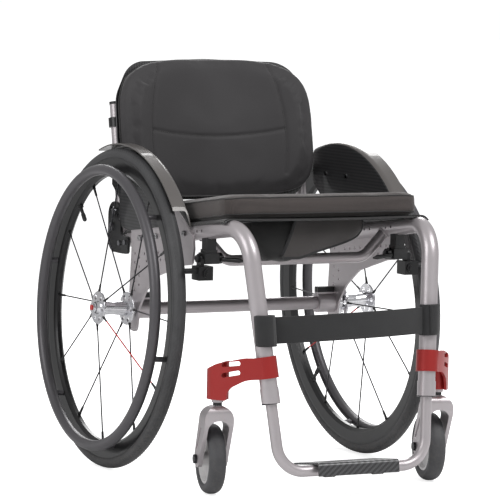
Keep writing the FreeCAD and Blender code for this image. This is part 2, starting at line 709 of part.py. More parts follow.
foot_top = on_leg(D.leg_foot_height.value + D.leg_insert.value)
foot_corner = on_leg(D.foot_tube_height.value)
foot_points = [foot_top, foot_corner, mirrored(foot_corner, -1), mirrored(foot_top, -1)]
foot_hollow, foot_solid = tube("footrest_tube", foot_points, (D.foot_bend_radius,) * 2,
                               D.foot_tube_diameter, D.foot_tube_wall)
node("footrest_tube", foot_hollow)

foot_radius = D.foot_tube_diameter.value / 2
plate_t = D.footplate_thickness.value
toe_up = math.radians(D.footplate_tilt.value)
skirt_low = foot_radius + plate_t - D.footplate_skirt.value
plate_front = (D.front_reach.value - (axle_y - foot_corner[1]) + skirt_low * math.sin(toe_up)) / math.cos(toe_up)
plate_back = plate_front - D.footplate_depth.value
step_outline = [(plate_back, foot_radius, 0), (plate_back, foot_radius + plate_t, 1.5),
                (plate_front, foot_radius + plate_t, 7), (plate_front, skirt_low, 1),
                (plate_front - plate_t, skirt_low, 1), (plate_front - plate_t, foot_radius, 4)]


def footplate_place(x):
    """Placement on the foot tube's axis: local X to the toes, local Y square to the footplate."""
    return axes((x, foot_corner[1], foot_corner[2]), (0, -math.cos(toe_up), math.sin(toe_up)), (-1, 0, 0))


node("footplate", pad("footplate", rounded(step_outline), D.footplate_half_width * 2,
                      footplate_place(D.footplate_half_width.value)))
saddles = []
saddle_width = 18
saddle_wall = 3
saddle_top = 6
for side in (-1, 1):
    x = side * D.footplate_half_width.value * 0.6 + saddle_width / 2
    edge = foot_radius + saddle_wall
    cheek = [(-edge, -3, 0), (-edge - 15, foot_radius, 0), (-edge - 2, foot_radius, 0), (-edge - 2, saddle_top, 0),
             (edge, saddle_top, 0), (edge, -edge, 11.5), (-edge, -edge, 11.5)]
    body = extrusion("saddle_cheek", rounded(cheek), saddle_width, footplate_place(x))
    bore = cylinder("saddle_bore", D.foot_tube_diameter / 2, saddle_width * 2,
                    along((x - saddle_width * 1.5, foot_corner[1], foot_corner[2]), (1, 0, 0)))
    saddles.append(cut("footplate_saddle", body, bore))
node("footplate_clamps", group("footplate_clamps", saddles))

# ---------------------------------------------------------------- caster arms and housings
barrel_radius = D.barrel_diameter / 2
fork_top = D.caster_diameter + D.fork_crown_gap + D.fork_crown
barrel_low = fork_top + D.crown_gap
barrel_top = barrel_low + D.barrel_height
ring_radius = barrel_radius + D.arm_thickness
cap_depth = 4
housings = []
bearings = []
for name, side in SIDES:
    stem_x = side * D.caster_half_track.value
    stem_y = y_at(D.caster_ahead)
    leg_spot = Vector(*on_leg(D.arm_leg_level.value, side))
    up = Vector(*mirrored(leg_up, side))
    start = Vector(leg_spot.x, leg_spot.y, 0)
    end = Vector(stem_x, stem_y, 0)
    reach = (end - start).Length
    flat = (end - start).normalize()
    outward = Vector(flat.y * side, -flat.x * side, 0)
    leg_outer = rail_radius + D.arm_thickness
    leg_ring = cylinder("arm_leg_ring", leg_outer, D.arm_height,
                        along(leg_spot - up * (D.arm_height.value / 2), up))
    barrel_ring = cylinder("arm_barrel_ring", ring_radius, 120, along((stem_x, stem_y, 140), (0, 0, 1)))
    # the band bows outward between the two rings; seen from above it is two arcs
    bow = 3.0
    inner_edge = [Vector(0, rail_radius.value, 0), Vector(reach / 2,
                                                          (rail_radius.value + barrel_radius.value) / 2 + bow, 0),
                  Vector(reach, barrel_radius.value, 0)]
    outer_edge = [Vector(reach, ring_radius.value, 0),
                  Vector(reach / 2, (leg_outer.value + ring_radius.value) / 2 + bow, 0),
                  Vector(0, leg_outer.value, 0)]
    plan = [Part.Arc(*inner_edge), Part.LineSegment(inner_edge[2], outer_edge[0]), Part.Arc(*outer_edge),
            Part.LineSegment(outer_edge[2], inner_edge[0])]
    turn = FreeCAD.Rotation(flat, outward, flat.cross(outward), "XYZ")
    band_low = 260 if side > 0 else 140
    strip = extrusion("arm_band_" + name, plan, 120, FreeCAD.Placement(start + Vector(0, 0, band_low), turn))
    profile = [(-6, leg_spot.z + 18.5, 0), (34, leg_spot.z + 16.5, 60), (reach - 4, leg_spot.z + 4, 50),
               (reach + 30, leg_spot.z - 14, 0), (reach + 30, barrel_low.value, 0),
               (reach - 24, barrel_low.value, 4),
               (reach - 26, leg_spot.z - 40, 22), (30, leg_spot.z - 22, 60), (-6, leg_spot.z - 18, 0)]
    slots = []
    for low, fall in ((leg_spot.z + 3.5, 5), (leg_spot.z - 12.5, 8)):
        high = low + D.arm_slot_height.value
        slots.append([(40, low, 3.5), (reach - 14, low - fall, 3.5), (reach - 14, high - fall, 3.5),
                      (40, high, 3.5)])
    side_turn = FreeCAD.Rotation(flat, Vector(0, 0, 1), flat.cross(Vector(0, 0, 1)), "XYZ")
    back_off = start - flat.cross(Vector(0, 0, 1)) * 60
    elevation = extrusion("arm_profile_" + name, rounded(profile), 120,
                          FreeCAD.Placement(back_off, side_turn))
    slot_start = start + outward * (rail_radius.value - 9) if flat.cross(Vector(0, 0, 1)).dot(outward) > 0 \
        else start + outward * (rail_radius.value + 21)
    openings = [extrusion("arm_slot_" + name, rounded(slot), 30, FreeCAD.Placement(slot_start, side_turn))
                for slot in slots]
    swept = common("arm_swept_" + name, [fuse("arm_blank", [barrel_ring, strip]), elevation])
    window_outline = [(-12.5, -7, 4), (12.5, -7, 4), (10.5, 8.5, 4), (-10.5, 8.5, 4)]
    window = extrusion("arm_window_" + name, rounded(window_outline), 40,
                       FreeCAD.Placement(leg_spot + Vector(0, -40, 0),
                                         FreeCAD.Rotation(Vector(1, 0, 0), up, Vector(0, 0, 0), "XYZ")))
    leg_bore = cylinder("arm_leg_bore", rail_radius, D.arm_height * 2.4,
                        along(leg_spot - up * (D.arm_height.value * 1.2), up))
    barrel_bore = cylinder("arm_barrel_bore", barrel_radius, 140, along((stem_x, stem_y, 130), (0, 0, 1)))
    node("caster_arm_" + name, cut("caster_arm_" + name, fuse("arm_body", [leg_ring, swept]),
                                   leg_bore, barrel_bore, window, *openings))
    bearing_r = D.bearing_diameter / 2
    bore_r = bearing_r - 2
    top_low = D.barrel_height - cap_depth - D.bearing_height
    housings.append(revolve("caster_housing_" + name,
                            [(bearing_r, 0), (barrel_radius - 1.5, 0), (barrel_radius, 1.5),
                             (barrel_radius, D.barrel_height - 2), (barrel_radius - 2, D.barrel_height),
                             (0, D.barrel_height), (0, D.barrel_height - cap_depth),
                             (bearing_r, D.barrel_height - cap_depth), (bearing_r, top_low),
                             (bore_r, top_low),
                             (bore_r, D.bearing_height), (bearing_r, D.bearing_height)],
                            along((stem_x, stem_y, barrel_low.value), (0, 0, 1))))
    for level in (0, top_low.value):
        ring = cylinder("bearing_ring", bearing_r, D.bearing_height,
                        along((stem_x, stem_y, barrel_low.value + level), (0, 0, 1)))
        hole = cylinder("bearing_hole", D.stem_diameter / 2 + D.running_gap, D.bearing_height * 2,
                        along((stem_x, stem_y, barrel_low.value + level - 2), (0, 0, 1)))
        bearings.append(cut("caster_bearing", ring, hole))
node("caster_housings", group("caster_housings", housings))
node("caster_bearings", group("caster_bearings", bearings))

# ---------------------------------------------------------------- caster forks and wheels
fork_half = D.fork_inner_width / 2 + D.fork_blade
recess_depth = 1.5
stem_root = 5
trail = D.caster_trail.value
axle_height = D.caster_diameter.value / 2


def curved_recess(top, bottom, back):
    """Outline of the long hollow milled in a fork blade, wider at its top."""
    return rounded([(2, top + 4, 4), (16, top + 4, 4), (back + 4, bottom, 3), (back - 4, bottom, 3)])


def hexagon(radius):
    """Six straight edges round the origin."""
    spots = [Vector(radius * math.cos(k * math.pi / 3), radius * math.sin(k * math.pi / 3),
                    0) for k in range(6)]
    return [Part.LineSegment(spots[k], spots[(k + 1) % 6]) for k in range(6)]


for name, side in SIDES:
    swivel = math.radians(D.caster_swivel.value)
    back_way = Vector(math.sin(swivel), math.cos(swivel), 0)
    cross_way = Vector(math.cos(swivel), -math.sin(swivel), 0)
    stem = Vector(side * D.caster_half_track.value, y_at(D.caster_ahead), 0)
    inner_half = D.fork_inner_width.value / 2
    crown_low = fork_top.value - D.fork_crown.value
    boss = 14.0
    across = FreeCAD.Rotation(cross_way, Vector(0, 0, 1), back_way * -1, "ZXY")
    u_outline = [(-fork_half.value, 0, 0), (-fork_half.value, fork_top.value, 24),
                 (fork_half.value, fork_top.value, 24), (fork_half.value, 0, 0), (inner_half, 0, 0),
                 (inner_half, crown_low, 17), (-inner_half, crown_low, 17), (-inner_half, 0, 0)]
    front = extrusion("fork_front", rounded(u_outline), 140, FreeCAD.Placement(stem + back_way * 90, across))
    lengthways = FreeCAD.Rotation(back_way, Vector(0, 0, 1), cross_way, "ZXY")
    s_outline = [(-18, fork_top.value, 14), (20, fork_top.value, 16), (27, fork_top.value - 26, 20),
                 (trail + boss, axle_height + 8, 10), (trail + boss, axle_height - boss, boss - 1),
                 (trail - boss, axle_height - boss, boss - 1), (-18, fork_top.value - 32, 24)]
    profile = extrusion("fork_side", rounded(s_outline), fork_half * 2,
                        FreeCAD.Placement(stem + cross_way * -fork_half.value, lengthways))
    blades = common("fork_blades", [front, profile])
    recess = curved_recess(fork_top.value - 44, axle_height + 17, trail)
    recesses = []
    for low in (-fork_half.value - 1, fork_half.value - recess_depth):
        recesses.append(extrusion("fork_recess", recess, recess_depth + 1,
                                  FreeCAD.Placement(stem + cross_way * low, lengthways)))
    stem_rod = cylinder("fork_stem", D.stem_diameter / 2, D.crown_gap + D.barrel_height - 6 + stem_root,
                        along(stem + Vector(0, 0, fork_top.value - stem_root), (0, 0, 1)))
    spacer = cylinder("fork_spacer", D.bearing_diameter / 2 - 1.5, D.crown_gap / 2 - 1,
                      along(stem + Vector(0, 0, fork_top.value + D.crown_gap.value / 2), (0, 0, 1)))
    stem_nut = extrusion("fork_nut", hexagon(9), D.crown_gap / 2 + stem_root + 0.5,
                         FreeCAD.Placement(stem + Vector(0, 0, fork_top.value - stem_root), FreeCAD.Rotation()))
    axle_spot = stem + back_way * trail + Vector(0, 0, axle_height)
    bolt_hole = cylinder("fork_bolt_hole", D.caster_bolt_diameter / 2, 120,
                         along(axle_spot - cross_way * 60, cross_way))
    node("caster_fork_" + name, cut("caster_fork_" + name,
                                    fuse("fork_body", [blades, stem_rod, spacer, stem_nut]),
                                    bolt_hole, *recesses))
    reach = fork_half.value
    bolt = cylinder("caster_bolt", D.caster_bolt_diameter / 2, 2 * reach,
                    along(axle_spot - cross_way * reach, cross_way))
    head = cylinder("caster_bolt_head", D.caster_bolt_diameter, 4,
                    along(axle_spot + cross_way * reach, cross_way))
    nut = cylinder("caster_nut", D.caster_bolt_diameter, 5,
                   along(axle_spot - cross_way * (reach + 5), cross_way))
    node("caster_bolt_" + name, fuse("caster_bolt_" + name, [bolt, head, nut]))
    wheel_place = along(axle_spot, cross_way)
    half = D.caster_width / 2
    hub_half = D.fork_inner_width / 2 - 1.5
    rim_r = D.caster_rim_diameter / 2
    bore = D.caster_bolt_diameter / 2 + D.running_gap
    node("caster_hub_" + name,
         revolve("caster_hub_" + name,
                 [(bore, -hub_half), (bore + 7, -hub_half), (bore + 9, -half * 0.5), (rim_r - 6, -half * 0.3),
                  (rim_r - 4, -half + 3), (rim_r, -half + 3), (rim_r, half - 3), (rim_r - 4, half - 3),
                  (rim_r - 6, half * 0.3), (bore + 9, half * 0.5), (bore + 7, hub_half), (bore, hub_half)],
                 wheel_place))
    outer_r = D.caster_diameter / 2
    node("caster_tyre_" + name,
         revolve("caster_tyre_" + name,
                 [(rim_r, -half + 2), (rim_r + 3, -half), (outer_r - 8, -half), (outer_r - 3, -half + 4),
                  (outer_r, -half + 9), (outer_r, half - 9), (outer_r - 3, half - 4), (outer_r - 8, half),
                  (rim_r + 3, half), (rim_r, half - 2)],
                 wheel_place))

# ---------------------------------------------------------------- rear wheels
bead_radius = wheel_radius - D.tyre_width + 1
rim_inner = bead_radius - D.rim_depth + 6
rim_half = D.rim_width / 2
flange_radius = D.flange_diameter / 2
MARKED = 11
for name, side in SIDES:
    place = wheel_places[side]
    rim_section = [(rim_inner, -rim_half * 0.35), (rim_inner + 6, -rim_half * 0.85), (bead_radius, -rim_half),
                   (bead_radius + 5, -rim_half), (bead_radius + 5, rim_half), (bead_radius, rim_half),
                   (rim_inner + 6, rim_half * 0.85), (rim_inner, rim_half * 0.35)]
    rim = revolve("rim_" + name, rim_section, place)
    tread = doc.addObject("Part::Torus", "tyre_ring")
    bind(tread, "Radius1", wheel_radius - D.tyre_width / 2)
    bind(tread, "Radius2", D.tyre_width / 2)
    tread.Placement = place
    node("tyre_" + name, cut("tyre_" + name, tread, rim))
    node("rim_" + name, rim)
    gap_half = D.flange_spacing / 2
    core = D.hub_core_diameter / 2
    bore = D.pin_diameter / 2 + D.running_gap
    hub = revolve("hub_turned_" + name,
                  [(bore, hub_inner), (core - 3, hub_inner), (core - 1, -gap_half - D.flange_thickness),
                   (flange_radius, -gap_half - D.flange_thickness), (flange_radius, -gap_half),
                   (core, -gap_half), (core - 2, 0), (core, gap_half), (flange_radius, gap_half),
                   (flange_radius, gap_half + D.flange_thickness), (core - 1, gap_half + D.flange_thickness),
                   (core - 3, hub_outer), (bore, hub_outer)], place)
    spokes = []
    marked = None
    eyes = []
    count = int(D.spoke_count.value)
    for k in range(count):
        angle = math.radians(360.0 * k / count)
        lateral = (gap_half + D.flange_thickness / 2).value * (1 if k % 2 else -1)
        radial = Vector(math.cos(angle), math.sin(angle), 0)
        start = radial * flange_radius.value + Vector(0, 0, lateral)
        end = radial * (rim_inner.value - 0.1) + Vector(0, 0, lateral * 0.08)
        spoke = rod("spoke", D.spoke_diameter / 2, start, end)
        spoke.Placement = place.multiply(spoke.Placement)
        if k == MARKED:
            marked = spoke
        else:
            spokes.append(spoke)
        if k % 2:
            eye_angle = angle + math.pi / 6
            spot = Vector(math.cos(eye_angle), math.sin(eye_angle), 0) * (flange_radius.value * 0.72)
            eye = cylinder("hub_eye", flange_radius * 0.17, 90, along(spot - Vector(0, 0, 45), (0, 0, 1)))
            eye.Placement = place.multiply(eye.Placement)
            eyes.append(eye)
    node("hub_" + name, cut("hub_" + name, hub, *eyes))
    node("spokes_" + name, group("spokes_" + name, spokes))
    node("marked_spoke_" + name, marked)
    ring_radius = D.handrim_diameter / 2 - D.handrim_tube / 2
    hand = doc.addObject("Part::Torus", "handrim_ring")
    bind(hand, "Radius1", ring_radius)
    bind(hand, "Radius2", D.handrim_tube / 2)
    hand.Placement = on_axle(side, D.handrim_offset)
    tabs = []
    for k in range(int(D.tab_count.value)):
        angle = math.radians(45 + 360.0 * k / D.tab_count.value)
        spot = Vector(math.cos(angle), math.sin(angle), 0) * (ring_radius.value + 2)
        low = rim_half.value * 0.98
        tab = cylinder("handrim_tab", D.tab_diameter / 2, D.handrim_offset.value - low,
                       along(spot + Vector(0, 0, low), (0, 0, 1)))
        tab.Placement = place.multiply(tab.Placement)
        tabs.append(tab)
    node("handrim_" + name, cut("handrim_" + name, fuse("handrim_whole", [hand] + tabs), rim))

# ---------------------------------------------------------------- backrest
recline = math.radians(D.recline.value)
pivot = Vector(0, y_at(-D.pivot_behind.value), D.pivot_height.value)
post_up = Vector(0, math.sin(recline), math.cos(recline))
post_back = Vector(0, math.cos(recline), -math.sin(recline))
post_radius = D.post_diameter / 2


def on_back(x, back, up):
    """Point of the backrest: across, behind the posts' plane, along the posts from the pivot."""
    return pivot + Vector(float(x), 0, 0) + post_back * float(back) + post_up * float(up)


hinge_inner = plate_inner + 0.4
hinge_outer = hinge_inner + D.hinge_thickness
hinges = []
bolts = []
caps = []
brackets = []
bolt_r = D.pivot_bolt_diameter / 2
hinge_low = -D.pivot_behind.value - 20
hinge_outline = [(hinge_low, D.pivot_height.value - 47, 26), (hinge_low, D.pivot_height.value + 48, 27),
                 (-61, D.pivot_height.value + 48, 27), (-61, D.pivot_height.value - 12, 8),
                 (-28, D.pivot_height.value - 14, 6), (-28, D.pivot_height.value - 46, 8),
                 (-56, D.pivot_height.value - 47, 10)]
slot_centre = (-D.pivot_behind.value, D.pivot_height.value)
slot_angle = 62
for name, side in SIDES:
    x = side * D.rail_half_spacing.value
    slot = curved_slot(slot_centre, 34, 30, 100, 4)
    hinges.append(pad("back_hinge_plate_" + name, rounded(hinge_outline), D.hinge_thickness,
                      side_place(hinge_inner.value, D.hinge_thickness.value, side),
                      [(slot_centre[0], slot_centre[1], bolt_r)], slot))
    bolt_in = D.rail_half_spacing.value - post_radius.value - 6
    shank = rod("pivot_shank", bolt_r, (side * bolt_in, pivot.y, pivot.z),
                (side * hinge_outer.value, pivot.y, pivot.z))
    head = cylinder("pivot_head", bolt_r * 2, 4, along((side * hinge_outer.value, pivot.y, pivot.z),
                                                       (side, 0, 0)))
    nut = cylinder("pivot_nut", bolt_r * 1.8, 5,
                   along((side * (bolt_in - 1), pivot.y, pivot.z), (side, 0, 0)))
    bolts.append(fuse("pivot_bolt", [shank, head, nut]))
    lock_y = y_at(slot_centre[0] + 34 * math.cos(math.radians(slot_angle)))
    lock_z = slot_centre[1] + 34 * math.sin(math.radians(slot_angle))
    lock = rod("lock_shank", 3.8, (side * hinge_inner.value, lock_y, lock_z),
               (side * hinge_outer.value, lock_y, lock_z))
    knob = cylinder("lock_head", 7.5, 6, along((side * hinge_outer.value, lock_y, lock_z), (side, 0, 0)))
    bolts.append(fuse("lock_bolt", [lock, knob]))
    for ahead in (-39, -64):
        spot = Vector(side * hinge_outer.value, y_at(ahead), rail_z(ahead) - 8)
        bolts.append(cylinder("hinge_screw", head_radius, D.screw_head_height, along(spot, (side, 0, 0))))
    post = rod("post_bar", post_radius, on_back(x, 0, -D.post_below.value), on_back(x, 0, D.post_length))
    pivot_hole = cylinder("post_pivot_hole", bolt_r + D.running_gap, 60,
                          along((x - 30, pivot.y, pivot.z), (1, 0, 0)))
    node("back_post_" + name, cut("back_post_" + name, post, pivot_hole))
    caps.append(rod("post_cap", post_radius + 0.6, on_back(x, 0, D.post_length),
                    on_back(x, 0, D.post_length + 5)))
    for level in (0.2, 0.55):
        height = D.back_bottom.value + D.back_height.value * level
        ring = rod("bracket_ring", post_radius + 4, on_back(x, 0, height - 9), on_back(x, 0, height + 9))
        arm = box("bracket_arm", (46, 30, 14),
                  axes(on_back(x - side * 22, -14, height), (1, 0, 0), post_up))
        bore = rod("bracket_bore", post_radius, on_back(x, 0, height - 20), on_back(x, 0, height + 20))
        brackets.append((fuse("bracket_body", [ring, arm]), bore))
node("back_hinge_plates", group("back_hinge_plates", hinges))
node("hinge_bolts", group("hinge_bolts", bolts))
node("post_caps", group("post_caps", caps))
bar_x = D.rail_half_spacing.value
bar = rod("back_bar_whole", D.bar_diameter / 2, on_back(-bar_x, 0, 27), on_back(bar_x, 0, 27))
post_solids = [rod("post_envelope", post_radius, on_back(s * bar_x, 0, 0),
                   on_back(s * bar_x, 0, 90)) for s in (1, -1)]
node("back_bar", cut("back_bar", bar, *post_solids))

back_low = D.back_bottom.value
back_high = back_low + D.back_height.value
half_w = D.back_half_width.value
back_outline = [(-0.86 * half_w, back_low, 42), (0.86 * half_w, back_low, 42),
                (half_w, back_low + 0.39 * D.back_height.value, 90),
                (0.985 * half_w, back_low + 0.72 * D.back_height.value, 60),
                (0.80 * half_w, back_high - 8, 60), (0, back_high + 2, 400),
                (-0.80 * half_w, back_high - 8, 60), (-0.985 * half_w,
                                                      back_low + 0.72 * D.back_height.value, 60),
                (-half_w, back_low + 0.39 * D.back_height.value, 90)]
bow_centre = 1 - D.back_bow_radius.value


def bow(name, radius):
    """Upright cylinder that gives the backrest its plan curve."""
    return cylinder(name, radius, D.back_height + 60, axes(on_back(0, bow_centre, back_low - 30),
                                                           (1, 0, 0), post_up))


def back_blank(name):
    place = FreeCAD.Placement(on_back(0, 40, 0),
                              FreeCAD.Rotation(Vector(1, 0, 0), post_up, post_back * -1, "ZXY"))
    return extrusion(name, rounded(back_outline), 180, place)


pad_bow = cut("pad_bow", bow("pad_bow_back", D.back_bow_radius),
              bow("pad_bow_front", D.back_bow_radius - D.back_pad_thickness))
node("back_pad", common("back_pad", [pad_bow, back_blank("pad_blank")]))
shell_inner = D.back_bow_radius + D.soft_gap
shell_outer = shell_inner + D.back_shell_thickness
shell_bow = cut("shell_bow", bow("shell_bow_back", shell_outer), bow("shell_bow_front", shell_inner))
node("back_shell", common("back_shell", [shell_bow, back_blank("shell_blank")]))
shell_solid = bow("shell_envelope", shell_outer)
node("back_brackets", group("back_brackets", [cut("back_bracket", body, bore, shell_solid) for body,
                                              bore in brackets]))

# ---------------------------------------------------------------- brakes
pin_r = D.brake_pin_diameter / 2
cap_r = pin_r + 2.5
handle_r = 4.2
brake_y = y_at(D.brake_pivot_ahead)
brake_z = rail_z(D.brake_pivot_ahead) - D.brake_pivot_drop.value
bar_y = y_at(D.brake_bar_ahead)
bar_z = D.brake_bar_height.value
rail_x = D.rail_half_spacing.value
mounts = []
block_low = brake_z - 9
block_high = brake_z + 10


def side_box(label, x_range, y_range, z_range, side):
    """Box given from the middle plane outward, for either side."""
    ends = sorted((side * x_range[0], side * x_range[1]))
    return flat_box(label, (ends[0], y_range[0], z_range[0]), (ends[1], y_range[1], z_range[1]))


def side_rod(label, radius, x_range, y, z, side):
    """Bar along X between two distances from the middle plane."""
    return rod(label, radius, (side * x_range[0], y, z), (side * x_range[1], y, z))


for name, side in SIDES:
    neck = side_box("brake_neck", (rail_x - 9, rail_x + 9), (brake_y - 11, brake_y + 11),
                    (brake_z, rail_z(D.brake_pivot_ahead)), side)
    block = side_box("brake_block", (rail_x - 14, rail_x + 14), (brake_y - 14, brake_y + 14),
                     (block_low, block_high), side)
    step = side_box("brake_step", (rail_x - 11, rail_x + 11), (brake_y - 12, brake_y + 12),
                    (block_high - 1, block_high + 6), side)
    saddle = cut("brake_saddle", fuse("brake_body", [neck, block, step]), rail_solids[side])
    pin = side_rod("brake_pin", pin_r, (rail_x - 27, rail_x + 24), brake_y, brake_z, side)
    cap_in = side_rod("brake_pin_cap", cap_r, (rail_x - 27, rail_x - 24), brake_y, brake_z, side)
    cap_out = side_rod("brake_pin_cap", cap_r, (rail_x + 22, rail_x + 25), brake_y, brake_z, side)
    mounts.append(fuse("brake_mount_" + name, [saddle, pin, cap_in, cap_out]))
    eye = side_rod("lever_eye", pin_r + 6, (rail_x - 23.6, rail_x - 14.4), brake_y, brake_z, side)
    handle_start = Vector(side * (rail_x - 19), brake_y - cap_r.value - handle_r - 1, brake_z - 1)
    handle_end = Vector(side * (rail_x - 52), brake_y - 18, brake_z - 4)
    arm = rod("lever_arm", handle_r, handle_start, handle_end)
    tip = doc.addObject("Part::Cone", "lever_tip")
    tip.Radius1 = handle_r
    tip.Radius2 = 1.6
    tip.Height = 9
    tip.Placement = along(handle_end, handle_end - handle_start)
    hole = side_rod("lever_hole", pin_r + D.running_gap, (rail_x - 40, rail_x + 0), brake_y, brake_z, side)
    node("brake_lever_" + name, cut("brake_lever_" + name, fuse("lever_body", [eye, arm, tip]), hole))
    eye = side_rod("shoe_eye", pin_r + 5, (rail_x + 14.6, rail_x + 21.4), brake_y, brake_z, side)
    cheek = side_box("shoe_cheek", (rail_x + 14.6, rail_x + 21.4), (brake_y - 12, brake_y + 6),
                     (block_low - 8, brake_z), side)
    lower = side_box("shoe_block", (rail_x + 3, rail_x + 31), (brake_y - 25, brake_y + 5),
                     (block_low - 28, block_low - 3), side)
    ring = cylinder("shoe_ring", 8, 3, along((side * (rail_x + 15), brake_y - 25, block_low - 15),
                                             (0, -1, 0)))
    bolt = cylinder("shoe_bolt", 4.5, 5, along((side * (rail_x + 15), brake_y - 25, block_low - 15),
                                               (0, -1, 0)))
    bar = side_rod("shoe_bar", D.brake_bar_diameter / 2, (rail_x + 10, rail_x + 57), bar_y, bar_z, side)
    hole = side_rod("shoe_hole", pin_r + D.running_gap, (rail_x + 14, rail_x + 30), brake_y, brake_z, side)
    node("brake_shoe_" + name, cut("brake_shoe_" + name,
                                   fuse("shoe_body", [eye, cheek, lower, ring, bolt, bar]), hole))
node("brake_mounts", group("brake_mounts", mounts))

# ---------------------------------------------------------------- checks and files
doc.recompute()
faults = []
for thing in doc.Objects:
    if "Invalid" in thing.State or "Error" in thing.State:
        faults.append("%s (%s) is %s" % (thing.Name, thing.TypeId, thing.State))
for thing in nodes:
    shape = thing.Shape
    if shape.isNull() or not shape.isValid() or not shape.Solids:
        faults.append("%s has no valid solid" % thing.Label)
if faults:
    raise RuntimeError("\n".join(faults))

os.makedirs("parts", exist_ok=True)
for thing in nodes:
    thing.Shape.exportStep("parts/%s.step" % thing.Label)
    print("%-24s %2d solids %10.1f mm3" % (thing.Label, len(thing.Shape.Solids), thing.Shape.Volume))
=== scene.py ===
"""The looks of a rigid-frame manual wheelchair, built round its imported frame, in metres."""
import json
import math

import bmesh
import bpy
import numpy as np
from mathutils import Matrix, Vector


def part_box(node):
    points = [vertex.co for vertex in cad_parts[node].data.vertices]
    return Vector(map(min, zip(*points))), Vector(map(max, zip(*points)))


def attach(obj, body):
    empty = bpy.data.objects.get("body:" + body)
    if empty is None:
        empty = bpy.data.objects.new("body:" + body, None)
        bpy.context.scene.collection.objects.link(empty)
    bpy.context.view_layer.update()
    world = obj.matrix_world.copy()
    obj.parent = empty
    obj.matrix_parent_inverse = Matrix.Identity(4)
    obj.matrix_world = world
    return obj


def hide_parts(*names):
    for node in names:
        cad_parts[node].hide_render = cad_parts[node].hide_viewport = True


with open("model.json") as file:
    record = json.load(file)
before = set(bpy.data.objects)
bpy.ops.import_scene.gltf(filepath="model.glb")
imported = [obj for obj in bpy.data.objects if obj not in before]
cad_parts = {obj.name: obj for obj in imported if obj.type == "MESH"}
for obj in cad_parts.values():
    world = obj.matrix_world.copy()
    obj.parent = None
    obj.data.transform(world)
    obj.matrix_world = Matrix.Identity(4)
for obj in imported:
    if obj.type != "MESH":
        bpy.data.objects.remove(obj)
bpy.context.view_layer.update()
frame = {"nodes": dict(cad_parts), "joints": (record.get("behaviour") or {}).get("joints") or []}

bl_info = {
    "name": "Rigid Frame Wheelchair Looks",
    "version": (1, 0, 0),
    "blender": (4, 5, 0),
    "location": "View3D > Sidebar > Wheelchair",
    "description": "Soft goods, tyres, trim and finishes for a packed wheelchair frame",
    "category": "Object",
}

MM = 0.001
SIDES = (("left", 1), ("right", -1))
UP = np.array((0.0, 0.0, 1.0))
ACROSS = np.array((1.0, 0.0, 0.0))


# ---------------------------------------------------------------- measuring the frame
def corners(node):
    """Every vertex of a CAD node, as an array of points."""
    mesh = frame["nodes"][node].data
    spots = np.zeros(len(mesh.vertices) * 3)
    mesh.vertices.foreach_get("co", spots)
    return spots.reshape(-1, 3)


def unit(vector):
    return np.asarray(vector, float) / np.linalg.norm(vector)


def joint(name):
    """Position and axis of a joint of the frame."""
    found = next(j for j in frame["joints"] if j["name"] == name)
    return np.array(found.get("pos_m", (0, 0, 0)), float), unit(found["axis"])


def ring_span(node, centre, axis):
    """(least radius, greatest radius, lowest, highest) of a CAD node about an axis."""
    away = corners(node) - centre
    along = away @ axis
    radius = np.linalg.norm(away - np.outer(along, axis), axis=1)
    return radius.min(), radius.max(), along.min(), along.max()


class Place:
    """A local frame: an origin and three square directions, the last two worked out from the first."""

    def __init__(self, origin, x_axis, z_axis):
        self.origin = np.asarray(origin, float)
        self.z = unit(z_axis)
        self.x = unit(np.asarray(x_axis, float) - self.z * np.dot(x_axis, self.z))
        self.y = np.cross(self.z, self.x)

    def out(self, x, y, z):
        """Points in the row frame of local coordinates, which may be arrays."""
        x, y, z = np.broadcast_arrays(x, y, z)
        return self.origin + x[..., None] * self.x + y[..., None] * self.y + z[..., None] * self.z

    def span(self, node):
        """Lowest and highest corner of a CAD node in this frame."""
        away = corners(node) - self.origin
        local = np.stack([away @ self.x, away @ self.y, away @ self.z], -1)
        return local.min(0), local.max(0)


def end_centre(node, side, direction):
    """Middle of the ring of vertices that lies furthest one way, on one side of the chair."""
    spots = corners(node)
    spots = spots[spots[:, 0] * side > 0]
    reach = spots @ np.asarray(direction, float)
    last = spots[reach > reach.max() - 0.0005]
    return (last.min(0) + last.max(0)) / 2


sling_spots = corners("seat_sling")
front_edge = sling_spots[sling_spots[:, 1] < sling_spots[:, 1].min() + 0.001].mean(0)
rear_edge = sling_spots[sling_spots[:, 1] > sling_spots[:, 1].max() - 0.001].mean(0)
SEAT_FORWARD = unit(front_edge - rear_edge)
SEAT_UP = np.cross(SEAT_FORWARD, ACROSS)
SEAT = Place(rear_edge, ACROSS, SEAT_UP)          # local Y runs to the rear, down the slope
RAIL_REAR = {side: end_centre("side_tube_" + name, side, -SEAT_FORWARD) for name, side in SIDES}
rail_spots = corners("side_tube_left")
RAIL_RADIUS = rail_spots[:, 0].max() - RAIL_REAR[1][0]
PIVOT, FOLD_AXIS = joint("backrest_fold")
post_spots = corners("back_post_left")
POST_UP = np.linalg.svd(post_spots - post_spots.mean(0), full_matrices=False)[2][0]
POST_UP = POST_UP * np.sign(POST_UP[2])
BACK = Place(PIVOT * (0, 1, 1), ACROSS, POST_UP)  # local Y runs to the rear, square to the posts
WHEEL = {}
for name, side in SIDES:
    centre, axis = joint("rear_wheel_%s_spin" % name)
    WHEEL[side] = Place(centre, (0, side, 0), axis * np.sign(axis[0]) * side)
LEG = {}
for name, side in SIDES:
    collar = corners("leg_collars")
    collar = collar[collar[:, 0] * side > 0]
    low = (collar.min(0) + collar.max(0)) / 2
    high = end_centre("footrest_tube", side, UP)
    LEG[side] = (low, unit(high - low))
CASTER = {}
for name, side in SIDES:
    centre, axis = joint("caster_%s_roll" % name)
    CASTER[side] = Place(centre, UP, axis)


